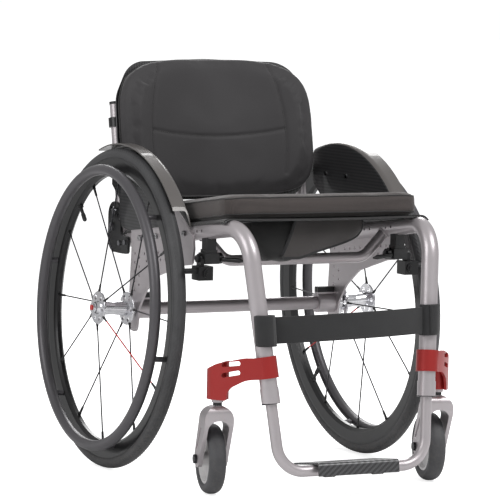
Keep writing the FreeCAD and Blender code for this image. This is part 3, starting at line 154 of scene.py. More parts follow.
# ---------------------------------------------------------------- surfaces
def grid(points, wrap_u=False, wrap_v=True, cap=True):
    """Skin over an array of points (rings, round, 3): one four-sided face between neighbours.

    wrap_u joins the last ring to the first, wrap_v each ring's last point to its first, and
    cap closes the two ends with fans. The map is the distance along the rings and round them.
    """
    rings, round_count = points.shape[:2]
    i = np.arange(rings if wrap_u else rings - 1)
    j = np.arange(round_count if wrap_v else round_count - 1)
    i, j = (a.ravel() for a in np.meshgrid(i, j, indexing="ij"))
    pairs = ((i, j), (i + 1, j), (i + 1, j + 1), (i, j + 1))
    quads = np.stack([(a % rings) * round_count + b % round_count for a, b in pairs], -1)
    along = np.linalg.norm(np.roll(points, -1, 0) - points, axis=2).mean(1)
    around = np.linalg.norm(np.roll(points, -1, 1) - points, axis=2).mean(0)
    along = np.concatenate([[0], np.cumsum(along)])
    around = np.concatenate([[0], np.cumsum(around)])
    maps = np.stack([np.stack([along[a], around[b]], -1) for a, b in pairs], 1).reshape(-1, 2)
    spots = points.reshape(-1, 3)
    skins = [quads]
    maps = [maps]
    if cap and wrap_v and not wrap_u:
        k = np.arange(round_count)
        k_next = (k + 1) % round_count
        first, last = len(spots), len(spots) + 1
        spots = np.concatenate([spots, points[:1].mean(1), points[-1:].mean(1)])
        base = (rings - 1) * round_count
        skins.append(np.stack([k_next, k, np.full_like(k, first)], -1)[:, ::-1])
        skins.append(np.stack([base + k, base + k_next, np.full_like(k, last)], -1)[:, ::-1])
        for level in (0, along[rings - 1]):
            edge = np.stack([np.full(round_count, level), around[k]], -1)
            maps.append(np.repeat(edge, 3, axis=0))
    return spots, skins, maps


def volume(spots, skins):
    """Signed volume inside a closed skin: a sixth of the summed box products of its triangles."""
    total = 0.0
    for faces in skins:
        for k in range(1, faces.shape[1] - 1):
            a, b, c = spots[faces[:, 0]], spots[faces[:, k]], spots[faces[:, k + 1]]
            total += np.einsum("ij,ij->i", a, np.cross(b, c)).sum()
    return total / 6


def outward(part):
    """The same closed part with its faces turned outwards."""
    spots, skins, maps = part
    if volume(spots - spots.mean(0), skins) > 0:
        return part
    turned = [m.reshape(len(f), -1, 2)[:, ::-1].reshape(-1, 2) for f, m in zip(skins, maps)]
    return spots, [faces[:, ::-1] for faces in skins], turned


def piece(name, parts, material, body, smooth=True, merge=1e-6):
    """One mesh object of several closed parts, riding on a body."""
    spots, counts, loops, maps = [], [], [], []
    start = 0
    for part in parts:
        part_spots, skins, part_maps = outward(part)
        for faces, part_map in zip(skins, part_maps):
            counts.append(np.full(len(faces), faces.shape[1]))
            loops.append((faces + start).ravel())
            maps.append(part_map)
        spots.append(part_spots)
        start += len(part_spots)
    spots, counts = np.concatenate(spots), np.concatenate(counts)
    loops, maps = np.concatenate(loops), np.concatenate(maps)
    mesh = bpy.data.meshes.new(name)
    mesh.vertices.add(len(spots))
    mesh.vertices.foreach_set("co", spots.astype(np.float32).ravel())
    mesh.loops.add(len(loops))
    mesh.loops.foreach_set("vertex_index", loops.astype(np.int32))
    mesh.polygons.add(len(counts))
    mesh.polygons.foreach_set("loop_start", np.concatenate([[0], np.cumsum(counts)[:-1]]).astype(np.int32))
    mesh.update(calc_edges=True)
    layer = mesh.uv_layers.new(name="Length")
    layer.data.foreach_set("uv", maps.astype(np.float32).ravel())
    if merge:
        shell = bmesh.new()
        shell.from_mesh(mesh)
        bmesh.ops.remove_doubles(shell, verts=shell.verts, dist=merge)
        shell.to_mesh(mesh)
        shell.free()
    mesh.polygons.foreach_set("use_smooth", np.full(len(mesh.polygons), smooth))
    mesh.validate()
    thing = bpy.data.objects.new(name, mesh)
    bpy.context.scene.collection.objects.link(thing)
    thing.data.materials.append(material)
    if body:
        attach(thing, body)
    return thing


def circle(count, start=0.0):
    """Angles evenly round a circle."""
    return np.arange(count) * (2 * np.pi / count) + start


def signed_power(value, power):
    return np.sign(value) * np.abs(value) ** power


def turned(place, outline, count=48, closed=True):
    """Profile (radius, height) carried round the local Z axis; closed joins its ends."""
    profile = np.asarray(outline, float)
    angle = circle(count)[:, None]
    radius, height = profile[None, :, 0], profile[None, :, 1]
    points = place.out(radius * np.cos(angle), radius * np.sin(angle), height + 0 * angle)
    return grid(points, wrap_u=True, wrap_v=closed, cap=False)


def soften(outline, radius, steps=3):
    """Closed or open profile whose inner corners are cut to short curves: each corner becomes a
    quadratic between points a radius before and after it."""
    spots = np.asarray(outline, float)
    made = [spots[:1]]
    for before, here, after in zip(spots[:-2], spots[1:-1], spots[2:]):
        back, ahead = before - here, after - here
        reach = min(radius, np.linalg.norm(back) / 2.2, np.linalg.norm(ahead) / 2.2)
        first, last = here + unit(back) * reach, here + unit(ahead) * reach
        t = np.linspace(0, 1, steps + 1)[:, None]
        made.append((1 - t) ** 2 * first + 2 * t * (1 - t) * here + t ** 2 * last)
    made.append(spots[-1:])
    return np.concatenate(made)


def carried(path, section, wide, closed=False):
    """Section (side, lift) points carried along a path; wide gives the side direction at each point.

    The lift direction is the path's own direction crossed with the side direction."""
    path = np.asarray(path, float)
    if closed:
        heading = np.roll(path, -1, 0) - np.roll(path, 1, 0)
    else:
        heading = np.gradient(path, axis=0)
    heading /= np.linalg.norm(heading, axis=1)[:, None]
    wide = np.broadcast_to(np.asarray(wide, float), path.shape)
    wide = wide - heading * np.einsum("ij,ij->i", wide, heading)[:, None]
    wide = wide / np.linalg.norm(wide, axis=1)[:, None]
    lift = np.cross(heading, wide)
    section = np.asarray(section, float)
    if section.ndim == 2:
        section = np.broadcast_to(section, (len(path),) + section.shape)
    points = path[:, None] + section[..., :1] * wide[:, None] + section[..., 1:] * lift[:, None]
    return grid(points, wrap_u=closed)


def round_section(radius, count=12):
    angle = circle(count)
    return np.stack([radius * np.cos(angle), radius * np.sin(angle)], -1)


def flat_section(half_width, half_thickness, count=20, power=0.35):
    """Rounded oblong: a circle whose sine and cosine are raised to a small power."""
    angle = circle(count)
    return np.stack([half_width * signed_power(np.cos(angle), power),
                     half_thickness * signed_power(np.sin(angle), power)], -1)


def smooth_path(points, count, closed=False):
    """Catmull-Rom curve through a few points, evenly sampled by length."""
    spots = np.asarray(points, float)
    if closed:
        spots = np.concatenate([spots[-1:], spots, spots[:2]])
    else:
        spots = np.concatenate([2 * spots[:1] - spots[1:2], spots, 2 * spots[-1:] - spots[-2:-1]])
    t = np.linspace(0, 1, 24, endpoint=False)[None, :, None]
    a, b, c, d = (spots[k:len(spots) - 3 + k, None] for k in range(4))
    curve = 0.5 * (2 * b + (c - a) * t + (2 * a - 5 * b + 4 * c - d) * t ** 2
                   + (3 * b - a - 3 * c + d) * t ** 3)
    curve = curve.reshape(-1, spots.shape[1])
    if not closed:
        curve = np.concatenate([curve, spots[-2:-1]])
    else:
        curve = np.concatenate([curve, curve[:1]])
    length = np.concatenate([[0], np.cumsum(np.linalg.norm(np.diff(curve, axis=0), axis=1))])
    stops = np.linspace(0, length[-1], count, endpoint=not closed)
    return np.stack([np.interp(stops, length, curve[:, k]) for k in range(curve.shape[1])], -1)


def stitches(path, normal, length=0.0034, gap=0.0018, radius=0.00035):
    """Row of short threads along a path: each one a small capsule lying on the surface."""
    path = np.asarray(path, float)
    run = np.concatenate([[0], np.cumsum(np.linalg.norm(np.diff(path, axis=0), axis=1))])
    starts = np.arange(0, run[-1] - length, length + gap)
    normal = np.broadcast_to(np.asarray(normal, float), path.shape)
    made = []
    for start in starts:
        stops = start + length * np.linspace(0, 1, 4)
        spots = np.stack([np.interp(stops, run, path[:, k]) for k in range(3)], -1)
        lift = np.stack([np.interp(stops, run, normal[:, k]) for k in range(3)], -1)
        lift = lift / np.linalg.norm(lift, axis=1)[:, None]
        bow = radius * np.array([-1.0, 0.4, 0.4, -1.0])[:, None]
        made.append(carried(spots + lift * bow, round_section(radius, 5), lift))
    return made


# ---------------------------------------------------------------- node trees
class Tree:
    """Short hand for building one node tree."""

    def __init__(self, tree):
        self.tree = tree

    def add(self, kind, values=None, **settings):
        node = self.tree.nodes.new(kind)
        for name, value in settings.items():
            setattr(node, name, value)
        for name, value in (values or {}).items():
            self.put(node.inputs[name], value)
        return node

    def put(self, socket, value):
        if isinstance(value, bpy.types.NodeSocket):
            self.tree.links.new(value, socket)
        else:
            socket.default_value = value

    def math(self, operation, first, second=0.0, third=0.0):
        return self.add("ShaderNodeMath", {0: first, 1: second, 2: third}, operation=operation).outputs[0]

    def scaled(self, vector, factors):
        return self.add("ShaderNodeVectorMath", {0: vector, 1: factors}, operation="MULTIPLY").outputs[0]

    def noise(self, vector, scale, detail=3.0, roughness=0.5):
        values = {"Vector": vector, "Scale": scale, "Detail": detail, "Roughness": roughness}
        return self.add("ShaderNodeTexNoise", values).outputs["Fac"]

    def steps(self, value, low, high, to_low=0.0, to_high=1.0):
        values = {"Value": value, "From Min": low, "From Max": high, "To Min": to_low, "To Max": to_high}
        return self.add("ShaderNodeMapRange", values, interpolation_type="SMOOTHSTEP").outputs[0]

    def mix(self, factor, first, second):
        node = self.add("ShaderNodeMix", data_type="RGBA")
        self.put(node.inputs["Factor"], factor)
        self.put(node.inputs[6], first)
        self.put(node.inputs[7], second)
        return node.outputs[2]

    def parts(self, vector):
        return self.add("ShaderNodeSeparateXYZ", {"Vector": vector}).outputs


def effect(name, inputs, outputs, build):
    """A shader node group made once: inputs and outputs are (name, kind, default)."""
    found = bpy.data.node_groups.get(name)
    if found:
        return found
    group = bpy.data.node_groups.new(name, "ShaderNodeTree")
    kinds = {"vector": "NodeSocketVector", "value": "NodeSocketFloat"}
    for socket, kind, default in inputs:
        made = group.interface.new_socket(socket, in_out="INPUT", socket_type=kinds[kind])
        if default is not None:
            made.default_value = default
    for socket in outputs:
        group.interface.new_socket(socket, in_out="OUTPUT", socket_type="NodeSocketFloat")
    tree = Tree(group)
    source = tree.add("NodeGroupInput").outputs
    sink = tree.add("NodeGroupOutput").inputs
    for socket, value in build(tree, source).items():
        tree.put(sink[socket], value)
    return group


def grain_effect():
    """Fine random grain, and broad patches for colour and gloss."""
    def build(tree, source):
        fine = tree.noise(source["Vector"], source["Scale"], 4.0, 0.6)
        broad = tree.noise(source["Vector"], source["Patch Scale"], 2.0, 0.5)
        return {"Height": fine, "Patches": tree.steps(broad, 0.3, 0.7)}
    return effect("Grain", [("Vector", "vector", None), ("Scale", "value", 900.0),
                            ("Patch Scale", "value", 9.0)], ["Height", "Patches"], build)


def weave_effect():
    """Plain weave: threads one way cross over and under threads the other way, in turn."""
    def build(tree, source):
        spot = tree.parts(tree.scaled(source["Vector"], (1, 1, 0)))
        across = tree.math("MULTIPLY", spot[0], source["Threads"])
        along = tree.math("MULTIPLY", spot[1], source["Threads"])
        ridge_a = tree.math("ABSOLUTE", tree.math("SINE", tree.math("MULTIPLY", across, math.pi)))
        ridge_b = tree.math("ABSOLUTE", tree.math("SINE", tree.math("MULTIPLY", along, math.pi)))
        cells = tree.math("ADD", tree.math("FLOOR", across), tree.math("FLOOR", along))
        over = tree.math("PINGPONG", cells, 1.0)
        height = tree.math("MULTIPLY", tree.math("MULTIPLY", ridge_a, ridge_b),
                           tree.math("MULTIPLY_ADD", over, 0.5, 0.5))
        return {"Height": height, "Over": over}
    return effect("Plain Weave", [("Vector", "vector", None), ("Threads", "value", 900.0)],
                  ["Height", "Over"], build)


def knit_effect():
    """Spacer knit: a regular lattice of small holes, from the distance to evenly set points."""
    def build(tree, source):
        cell = tree.add("ShaderNodeTexVoronoi", {"Vector": source["Vector"], "Scale": source["Scale"],
                                                 "Randomness": 0.12})
        return {"Height": tree.steps(cell.outputs["Distance"], 0.15, 0.55),
                "Fuzz": tree.noise(source["Vector"], 2600.0, 2.0)}
    return effect("Knit", [("Vector", "vector", None), ("Scale", "value", 420.0)], ["Height", "Fuzz"], build)


def twill_effect():
    """Two-by-two twill of flat tows: each row of the weave is moved one tow on from the last."""
    def build(tree, source):
        spot = tree.parts(source["Vector"])
        across = tree.math("DIVIDE", spot[0], source["Tow"])
        along = tree.math("DIVIDE", spot[1], source["Tow"])
        shift = tree.math("ADD", tree.math("FLOOR", across), tree.math("FLOOR", along))
        over = tree.math("LESS_THAN", tree.math("FLOORED_MODULO", shift, 4.0), 2.0)
        hump_a = tree.math("ABSOLUTE", tree.math("SINE", tree.math("MULTIPLY", across, math.pi)))
        hump_b = tree.math("ABSOLUTE", tree.math("SINE", tree.math("MULTIPLY", along, math.pi)))
        height = tree.add("ShaderNodeMix", {0: over, 2: hump_a, 3: hump_b}, data_type="FLOAT").outputs[0]
        return {"Over": over, "Height": height}
    return effect("Twill", [("Vector", "vector", None), ("Tow", "value", 0.0022)], ["Over", "Height"], build)


def scuff_effect():
    """Thin scratches and rubbed spots: stretched noise kept only near its crest."""
    def build(tree, source):
        warped = tree.scaled(source["Vector"], (1.0, 7.0, 2.0))
        streak = tree.noise(warped, source["Scale"], 5.0, 0.65)
        patch = tree.noise(source["Vector"], 14.0, 2.0)
        mark = tree.math("MULTIPLY", tree.steps(streak, 0.62, 0.72), tree.steps(patch, 0.45, 0.7))
        return {"Marks": tree.math("MULTIPLY", mark, source["Amount"])}
    return effect("Scuffs", [("Vector", "vector", None), ("Scale", "value", 60.0),
                             ("Amount", "value", 0.5)], ["Marks"], build)


def dust_effect():
    """Road dust: more of it near the floor, broken up by noise."""
    def build(tree, source):
        height = tree.parts(source["Vector"])[2]
        low = tree.steps(height, 0.0, source["Top"], 1.0, 0.0)
        specks = tree.steps(tree.noise(source["Vector"], 160.0, 5.0, 0.7), 0.42, 0.7)
        return {"Dust": tree.math("MULTIPLY", tree.math("MULTIPLY", low, specks), source["Amount"])}
    return effect("Dust", [("Vector", "vector", None), ("Top", "value", 0.3), ("Amount", "value", 0.4)],
                  ["Dust"], build)


def material(name, roughness=0.5, metallic=0.0, coat=0.0, sheen=0.0, specular=0.5):
    """New material; gives its tree, its shader and the object coordinates."""
    made = bpy.data.materials.new("chair_" + name)
    made.use_nodes = True
    made.node_tree.nodes.clear()
    tree = Tree(made.node_tree)
    shader = tree.add("ShaderNodeBsdfPrincipled", {"Roughness": roughness, "Metallic": metallic,
                                                   "Coat Weight": coat, "Sheen Weight": sheen,
                                                   "Specular IOR Level": specular})
    output = tree.add("ShaderNodeOutputMaterial")
    tree.put(output.inputs["Surface"], shader.outputs["BSDF"])
    spot = tree.add("ShaderNodeTexCoord").outputs["Object"]
    return made, tree, shader, spot


def placed(tree, group, values):
    """A group node with its inputs set."""
    node = tree.add("ShaderNodeGroup", node_tree=group)
    for name, value in values.items():
        tree.put(node.inputs[name], value)
    return node.outputs


def bumped(tree, shader, height, strength, distance):
    bump = tree.add("ShaderNodeBump", {"Height": height, "Strength": strength, "Distance": distance})
    tree.put(shader.inputs["Normal"], bump.outputs["Normal"])


def shade(colour, factor):
    """The same colour, lighter or darker."""
    return tuple(min(1.0, c * factor) for c in colour[:3]) + (1.0,)


def colours():
    return bpy.context.scene.chair_colours


# ---------------------------------------------------------------- finishes
def satin_metal(name, colour, roughness, metallic, coat, grain=1400.0, band=None):
    """Painted or anodised metal: flakes in the colour, orange peel and a few scuffs.

    band is (axis, start, end): between those two heights along the axis, taken on the left half
    and mirrored, the metal is black."""
    made, tree, shader, spot = material(name, roughness, metallic, coat)
    shader.inputs["Coat Roughness"].default_value = 0.12
    grain_out = placed(tree, grain_effect(), {"Vector": spot, "Scale": grain, "Patch Scale": 7.0})
    scuffs = placed(tree, scuff_effect(), {"Vector": spot, "Scale": 45.0, "Amount": 0.35})
    flakes = tree.mix(grain_out["Height"], shade(colour, 0.9), shade(colour, 1.12))
    flakes = tree.mix(tree.math("MULTIPLY", grain_out["Patches"], 0.25), flakes, shade(colour, 0.88))
    base = tree.mix(scuffs["Marks"], flakes, shade(colour, 1.35))
    if band:
        base = tree.mix(band_mask(tree, spot, *band), base, (0.022, 0.022, 0.023, 1))
    tree.put(shader.inputs["Base Color"], base)
    rough = tree.math("MULTIPLY_ADD", grain_out["Patches"], 0.06, roughness - 0.03)
    tree.put(shader.inputs["Roughness"], tree.math("ADD", rough, tree.math("MULTIPLY", scuffs["Marks"], 0.2)))
    bumped(tree, shader, grain_out["Height"], 0.12, 0.0002)
    return made


def band_mask(tree, spot, axis, start, end):
    """One where the distance along an axis, mirrored about the middle plane, lies between two values."""
    parts = tree.parts(spot)
    along = tree.math("MULTIPLY", tree.math("ABSOLUTE", parts[0]), float(axis[0]))
    along = tree.math("MULTIPLY_ADD", parts[1], float(axis[1]), along)
    along = tree.math("MULTIPLY_ADD", parts[2], float(axis[2]), along)
    above, below = tree.math("GREATER_THAN", along, float(start)), tree.math("LESS_THAN", along, float(end))
    return tree.math("MULTIPLY", above, below)


def banded_silver(name, axis, start, end):
    """The frame's paint with one black band."""
    return satin_metal(name, colours().frame, 0.36, 0.6, 0.2, band=(axis, start, end))


def collar_silver():
    """Leg collars: the lowest few millimetres are a black ring."""
    up = LEG[1][1]
    spots = corners("leg_collars")
    end = (spots[spots[:, 0] > 0] @ up).min()
    return banded_silver("collar_silver", up, end - 0.01, end + 0.0035)


def fork_silver():
    """Caster forks: the lock nut between crown and spacer is black."""
    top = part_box("caster_housings")[0].z
    return banded_silver("fork_silver", UP, top - 0.012, top - 0.006)


def clamp_silver():
    """Axle clamps: black along their split upper edge."""
    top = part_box("axle_clamps")[1].z
    return banded_silver("clamp_silver", UP, top - 0.010, top + 0.01)


def frame_silver():
    return satin_metal("frame_silver", colours().frame, 0.36, 0.6, 0.2)


def red_anodised():
    return satin_metal("red_anodised", colours().accent, 0.36, 0.35, 0.15)


def handrim_grey():
    return satin_metal("handrim_grey", colours().handrim, 0.38, 0.4, 0.0, 900.0)


def black_alloy():
    return satin_metal("black_alloy", colours().black, 0.32, 0.5, 0.2)


def polished_alloy():
    """Machined and polished aluminium: fine turning lines and soft smears."""
    made, tree, shader, spot = material("polished_alloy", 0.14, 1.0)
    grain_out = placed(tree, grain_effect(), {"Vector": tree.scaled(spot, (9.0, 1.0, 1.0)), "Scale": 500.0})
    tree.put(shader.inputs["Base Color"], tree.mix(grain_out["Patches"], (0.80, 0.80, 0.82, 1),
                                                   (0.70, 0.70, 0.73, 1)))
    tree.put(shader.inputs["Roughness"], tree.math("MULTIPLY_ADD", grain_out["Patches"], 0.12, 0.08))
    bumped(tree, shader, grain_out["Height"], 0.15, 0.0001)
    return made


def screw_steel(name="screw_steel", colour=(0.34, 0.34, 0.36, 1)):
    """Plated steel fasteners: brushed, darker in patches."""
    made, tree, shader, spot = material(name, 0.3, 1.0)
    grain_out = placed(tree, grain_effect(), {"Vector": tree.scaled(spot, (1.0, 6.0, 6.0)), "Scale": 700.0,
                                              "Patch Scale": 60.0})
    tree.put(shader.inputs["Base Color"], tree.mix(grain_out["Patches"], colour, shade(colour, 0.6)))
    tree.put(shader.inputs["Roughness"], tree.math("MULTIPLY_ADD", grain_out["Height"], 0.25, 0.2))
    bumped(tree, shader, grain_out["Height"], 0.2, 0.0001)
    return made


def moulded(name, colour, roughness=0.5, scale=1500.0, strength=0.35):
    """Moulded plastic: spark-eroded grain, with handling gloss in patches."""
    made, tree, shader, spot = material(name, roughness)
    grain_out = placed(tree, grain_effect(), {"Vector": spot, "Scale": scale, "Patch Scale": 25.0})
    scuffs = placed(tree, scuff_effect(), {"Vector": spot, "Scale": 80.0, "Amount": 0.25})
    base = tree.mix(grain_out["Patches"], colour, shade(colour, 1.2))
    tree.put(shader.inputs["Base Color"], tree.mix(scuffs["Marks"], base, shade(colour, 2.2)))
    rough = tree.math("MULTIPLY_ADD", grain_out["Patches"], 0.12, roughness - 0.06)
    tree.put(shader.inputs["Roughness"], rough)
    bumped(tree, shader, grain_out["Height"], strength, 0.0002)
    return made


def rubber(name, colour, dust=0.35):
    """Tyre rubber: dull, finely pitted, dusty where it meets the floor."""
    made, tree, shader, spot = material(name, 0.62, specular=0.4)
    grain_out = placed(tree, grain_effect(), {"Vector": spot, "Scale": 1100.0, "Patch Scale": 18.0})
    dust_out = placed(tree, dust_effect(), {"Vector": spot, "Top": 0.25, "Amount": dust})
    base = tree.mix(grain_out["Patches"], colour, shade(colour, 1.35))
    tree.put(shader.inputs["Base Color"], tree.mix(dust_out["Dust"], base, (0.16, 0.145, 0.13, 1)))
    tree.put(shader.inputs["Roughness"], tree.math("MULTIPLY_ADD", dust_out["Dust"], 0.3, 0.55))
    bumped(tree, shader, grain_out["Height"], 0.4, 0.0003)
    return made


def carbon(name, turn, light=1.0):
    """Twill carbon under a satin lacquer; turn brings the cloth's plane to the local XY plane."""
    made, tree, shader, spot = material(name, 0.4, 0.0, 0.6)
    shader.inputs["Coat Roughness"].default_value = 0.18
    lay = tree.add("ShaderNodeMapping", {"Vector": spot, "Rotation": turn}).outputs[0]
    twill = placed(tree, twill_effect(), {"Vector": lay, "Tow": 0.0021})
    grain_out = placed(tree, grain_effect(), {"Vector": spot, "Scale": 1600.0})
    dark = (0.011 * light, 0.011 * light, 0.012 * light, 1)
    pale = (0.05 * light, 0.05 * light, 0.053 * light, 1)
    base = tree.mix(twill["Over"], dark, pale)
    mottle = tree.math("MULTIPLY", grain_out["Height"], 0.4)
    tree.put(shader.inputs["Base Color"], tree.mix(mottle, base, dark))
    tree.put(shader.inputs["Roughness"], tree.math("MULTIPLY_ADD", twill["Over"], -0.15, 0.45))
    bumped(tree, shader, twill["Height"], 0.25, 0.0003)
    return made


def knit_fabric(name, colour, scale=430.0):
    """Stretch knit over foam: small holes, fuzz and a faint sheen."""
    made, tree, shader, spot = material(name, 0.85, 0.0, 0.0, 0.35, 0.2)
    shader.inputs["Sheen Roughness"].default_value = 0.5
    knit = placed(tree, knit_effect(), {"Vector": spot, "Scale": scale})
    grain_out = placed(tree, grain_effect(), {"Vector": spot, "Scale": 240.0, "Patch Scale": 11.0})
    base = tree.mix(knit["Height"], shade(colour, 0.55), shade(colour, 1.25))
    base = tree.mix(tree.math("MULTIPLY", knit["Fuzz"], 0.5), base, shade(colour, 1.7))
    tree.put(shader.inputs["Base Color"], tree.mix(tree.math("MULTIPLY", grain_out["Patches"], 0.3), base,
                                                   shade(colour, 0.75)))
    height = tree.math("ADD", knit["Height"], tree.math("MULTIPLY", knit["Fuzz"], 0.6))
    bumped(tree, shader, height, 0.5, 0.0004)
    return made


def smooth_fabric(name, colour):
    """Laminated stretch cover: close, smooth and slightly lustrous, with a fine rib."""
    made, tree, shader, spot = material(name, 0.68, 0.0, 0.0, 0.45, 0.35)
    shader.inputs["Sheen Roughness"].default_value = 0.4
    rib = tree.math("SINE", tree.math("MULTIPLY", tree.parts(spot)[2], 2 * math.pi * 1300.0))
    grain_out = placed(tree, grain_effect(), {"Vector": spot, "Scale": 1900.0, "Patch Scale": 6.0})
    base = tree.mix(grain_out["Height"], shade(colour, 0.8), shade(colour, 1.25))
    tree.put(shader.inputs["Base Color"], tree.mix(tree.math("MULTIPLY", grain_out["Patches"], 0.35), base,
                                                   shade(colour, 0.8)))
    tree.put(shader.inputs["Roughness"], tree.math("MULTIPLY_ADD", grain_out["Patches"], 0.1, 0.62))
    height = tree.math("ADD", grain_out["Height"], tree.math("MULTIPLY", rib, 0.2))
    bumped(tree, shader, height, 0.3, 0.0002)
    return made


def webbing(name, colour, threads=850.0, sheen=0.25):
    """Woven strap or pack cloth, on the piece's own map so that it follows every bend."""
    made, tree, shader, spot = material(name, 0.72, 0.0, 0.0, sheen, 0.3)
    length = tree.add("ShaderNodeTexCoord").outputs["UV"]
    weave = placed(tree, weave_effect(), {"Vector": length, "Threads": threads})
    grain_out = placed(tree, grain_effect(), {"Vector": spot, "Scale": 700.0, "Patch Scale": 20.0})
    base = tree.mix(weave["Over"], shade(colour, 0.7), shade(colour, 1.3))
    base = tree.mix(tree.math("MULTIPLY", grain_out["Patches"], 0.4), base, shade(colour, 1.5))
    tree.put(shader.inputs["Base Color"], base)
    tree.put(shader.inputs["Roughness"], tree.math("MULTIPLY_ADD", weave["Height"], -0.2, 0.8))
    bumped(tree, shader, weave["Height"], 0.6, 0.0004)
    return made


def finish(name):
    """A finish by its name, made the first time it is asked for."""
    found = bpy.data.materials.get("chair_" + name)
    return found or FINISHES[name]()


def guard_carbon_painted_lip():
    """Sideguard: black carbon on the upright sheet; the lip, also carbon, gets a warm grey colour under a
    satin coat, which is a painted reflection of the white room in its gloss.
    """
    made, tree, shader, spot = material("guard_carbon_painted_lip", 0.36, 0.25, 0.4)
    sheet_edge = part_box("sideguard_left")[0].x + 3.2 * MM
    sheet_side = tree.math("LESS_THAN", tree.math("ABSOLUTE", tree.parts(spot)[0]), sheet_edge)
    facing = tree.math("ABSOLUTE", tree.parts(tree.add("ShaderNodeNewGeometry").outputs["True Normal"])[0])
    inside = tree.math("MULTIPLY", sheet_side, tree.math("GREATER_THAN", facing, 0.8))
    turn = (0, math.pi / 2, math.pi / 4)
    lay = tree.add("ShaderNodeMapping", {"Vector": spot, "Rotation": turn}).outputs[0]
    twill = placed(tree, twill_effect(), {"Vector": lay, "Tow": 0.0021})
    grain_out = placed(tree, grain_effect(), {"Vector": spot, "Scale": 1500.0})
    weave = tree.mix(twill["Over"], (0.012, 0.012, 0.013, 1), (0.032, 0.032, 0.034, 1))
    # Lip colour: painted reflection, a warm grey standing in for the white room mirrored in the lip's glossy
    # carbon.
    lip_painted_reflection = tree.mix(grain_out["Height"], shade(colours().guard, 0.85), shade(colours().guard, 1.15))
    tree.put(shader.inputs["Base Color"], tree.mix(inside, lip_painted_reflection, weave))
    tree.put(shader.inputs["Roughness"], tree.math("MULTIPLY_ADD", inside, 0.05, 0.36))
    bumped(tree, shader, grain_out["Height"], 0.2, 0.0002)
    return made


FINISHES = {
    "frame_silver": frame_silver,
    "collar_silver": collar_silver,
    "fork_silver": fork_silver,
    "clamp_silver": clamp_silver,
    "red_anodised": red_anodised,
    "handrim_grey": handrim_grey,
    "black_alloy": black_alloy,
    "polished_alloy": polished_alloy,
    "screw_steel": screw_steel,
    "bright_screw": lambda: screw_steel("bright_screw", (0.62, 0.62, 0.63, 1)),
    "dark_steel": lambda: screw_steel("dark_steel", (0.06, 0.06, 0.065, 1)),
    "black_plastic": lambda: moulded("black_plastic", (0.018, 0.018, 0.019, 1)),
    "pale_plastic": lambda: moulded("pale_plastic", (0.55, 0.54, 0.54, 1), 0.4, 1200.0, 0.2),
    "red_plastic": lambda: moulded("red_plastic", (0.5, 0.02, 0.02, 1), 0.35),
    "tyre_rubber": lambda: rubber("tyre_rubber", (0.050, 0.050, 0.052, 1)),
    "caster_rubber": lambda: rubber("caster_rubber", (0.06, 0.06, 0.064, 1), 0.2),
    "shell_carbon": lambda: carbon("shell_carbon", (math.pi / 2, 0, math.pi / 4)),
    "plate_carbon": lambda: carbon("plate_carbon", (math.pi / 2, math.pi / 4, 0), 1.6),
    "guard_carbon_painted_lip": guard_carbon_painted_lip,
    "seat_knit": lambda: knit_fabric("seat_knit", colours().seat),
    "back_cover": lambda: smooth_fabric("back_cover", colours().backrest),
    "sling_cloth": lambda: webbing("sling_cloth", (0.020, 0.019, 0.019, 1), 1100.0),
    "pouch_cloth": lambda: webbing("pouch_cloth", (0.016, 0.016, 0.016, 1), 1500.0, 0.15),
    "flap_cloth": lambda: webbing("flap_cloth", (0.052, 0.047, 0.046, 1), 1500.0),
    "strap_webbing": lambda: webbing("strap_webbing", (0.022, 0.022, 0.023, 1), 700.0),
    "thread": lambda: webbing("thread", (0.05, 0.048, 0.047, 1), 2400.0),
}

NODE_FINISH = {
    "side_tube_left": "frame_silver", "side_tube_right": "frame_silver", "seat_cross_tube": "frame_silver",
    "axle_tube": "frame_silver", "axle_clamps": "clamp_silver", "side_plate_left": "frame_silver",
    "side_plate_right": "frame_silver", "axle_receivers": "polished_alloy", "axle_pins": "polished_alloy",
    "sideguard_left": "guard_carbon_painted_lip", "sideguard_right": "guard_carbon_painted_lip", "frame_screws": "screw_steel",
    "leg_collars": "collar_silver", "footrest_tube": "frame_silver", "footplate": "plate_carbon",
    "footplate_clamps": "black_plastic",
    "caster_arm_left": "red_anodised", "caster_arm_right": "red_anodised",
    "caster_housings": "red_anodised", "caster_bearings": "screw_steel", "caster_fork_left": "fork_silver",
    "caster_fork_right": "fork_silver", "caster_bolt_left": "dark_steel", "caster_bolt_right": "dark_steel",
    "caster_hub_left": "pale_plastic", "caster_hub_right": "pale_plastic", "back_post_left": "frame_silver",
    "back_post_right": "frame_silver", "post_caps": "black_plastic", "back_bar": "black_alloy",
    "back_shell": "shell_carbon", "back_brackets": "black_alloy", "back_hinge_plates": "black_alloy",
    "hinge_bolts": "screw_steel", "brake_mounts": "black_plastic", "brake_lever_left": "black_alloy",
    "brake_lever_right": "black_alloy", "brake_shoe_left": "black_alloy", "brake_shoe_right": "black_alloy",
    "rim_left": "black_alloy", "rim_right": "black_alloy", "hub_left": "polished_alloy",
    "hub_right": "polished_alloy", "spokes_left": "dark_steel", "spokes_right": "dark_steel",
    "marked_spoke_left": "red_plastic", "marked_spoke_right": "red_plastic", "handrim_left": "handrim_grey",
    "handrim_right": "handrim_grey", "qr_button_left": "red_plastic", "qr_button_right": "red_plastic",
}


def paint_nodes():
    """Give every CAD node that stays visible its finish."""
    for node, name in NODE_FINISH.items():
        for slot in frame["nodes"][node].material_slots:
            slot.material = finish(name)


# ---------------------------------------------------------------- padded pieces
def read_points(thing):
    spots = np.zeros(len(thing.data.vertices) * 3)
    thing.data.vertices.foreach_get("co", spots)
    return spots.reshape(-1, 3)


def read_normals(thing):
    directions = np.zeros(len(thing.data.vertices) * 3)
    thing.data.vertices.foreach_get("normal", directions)
    return directions.reshape(-1, 3)


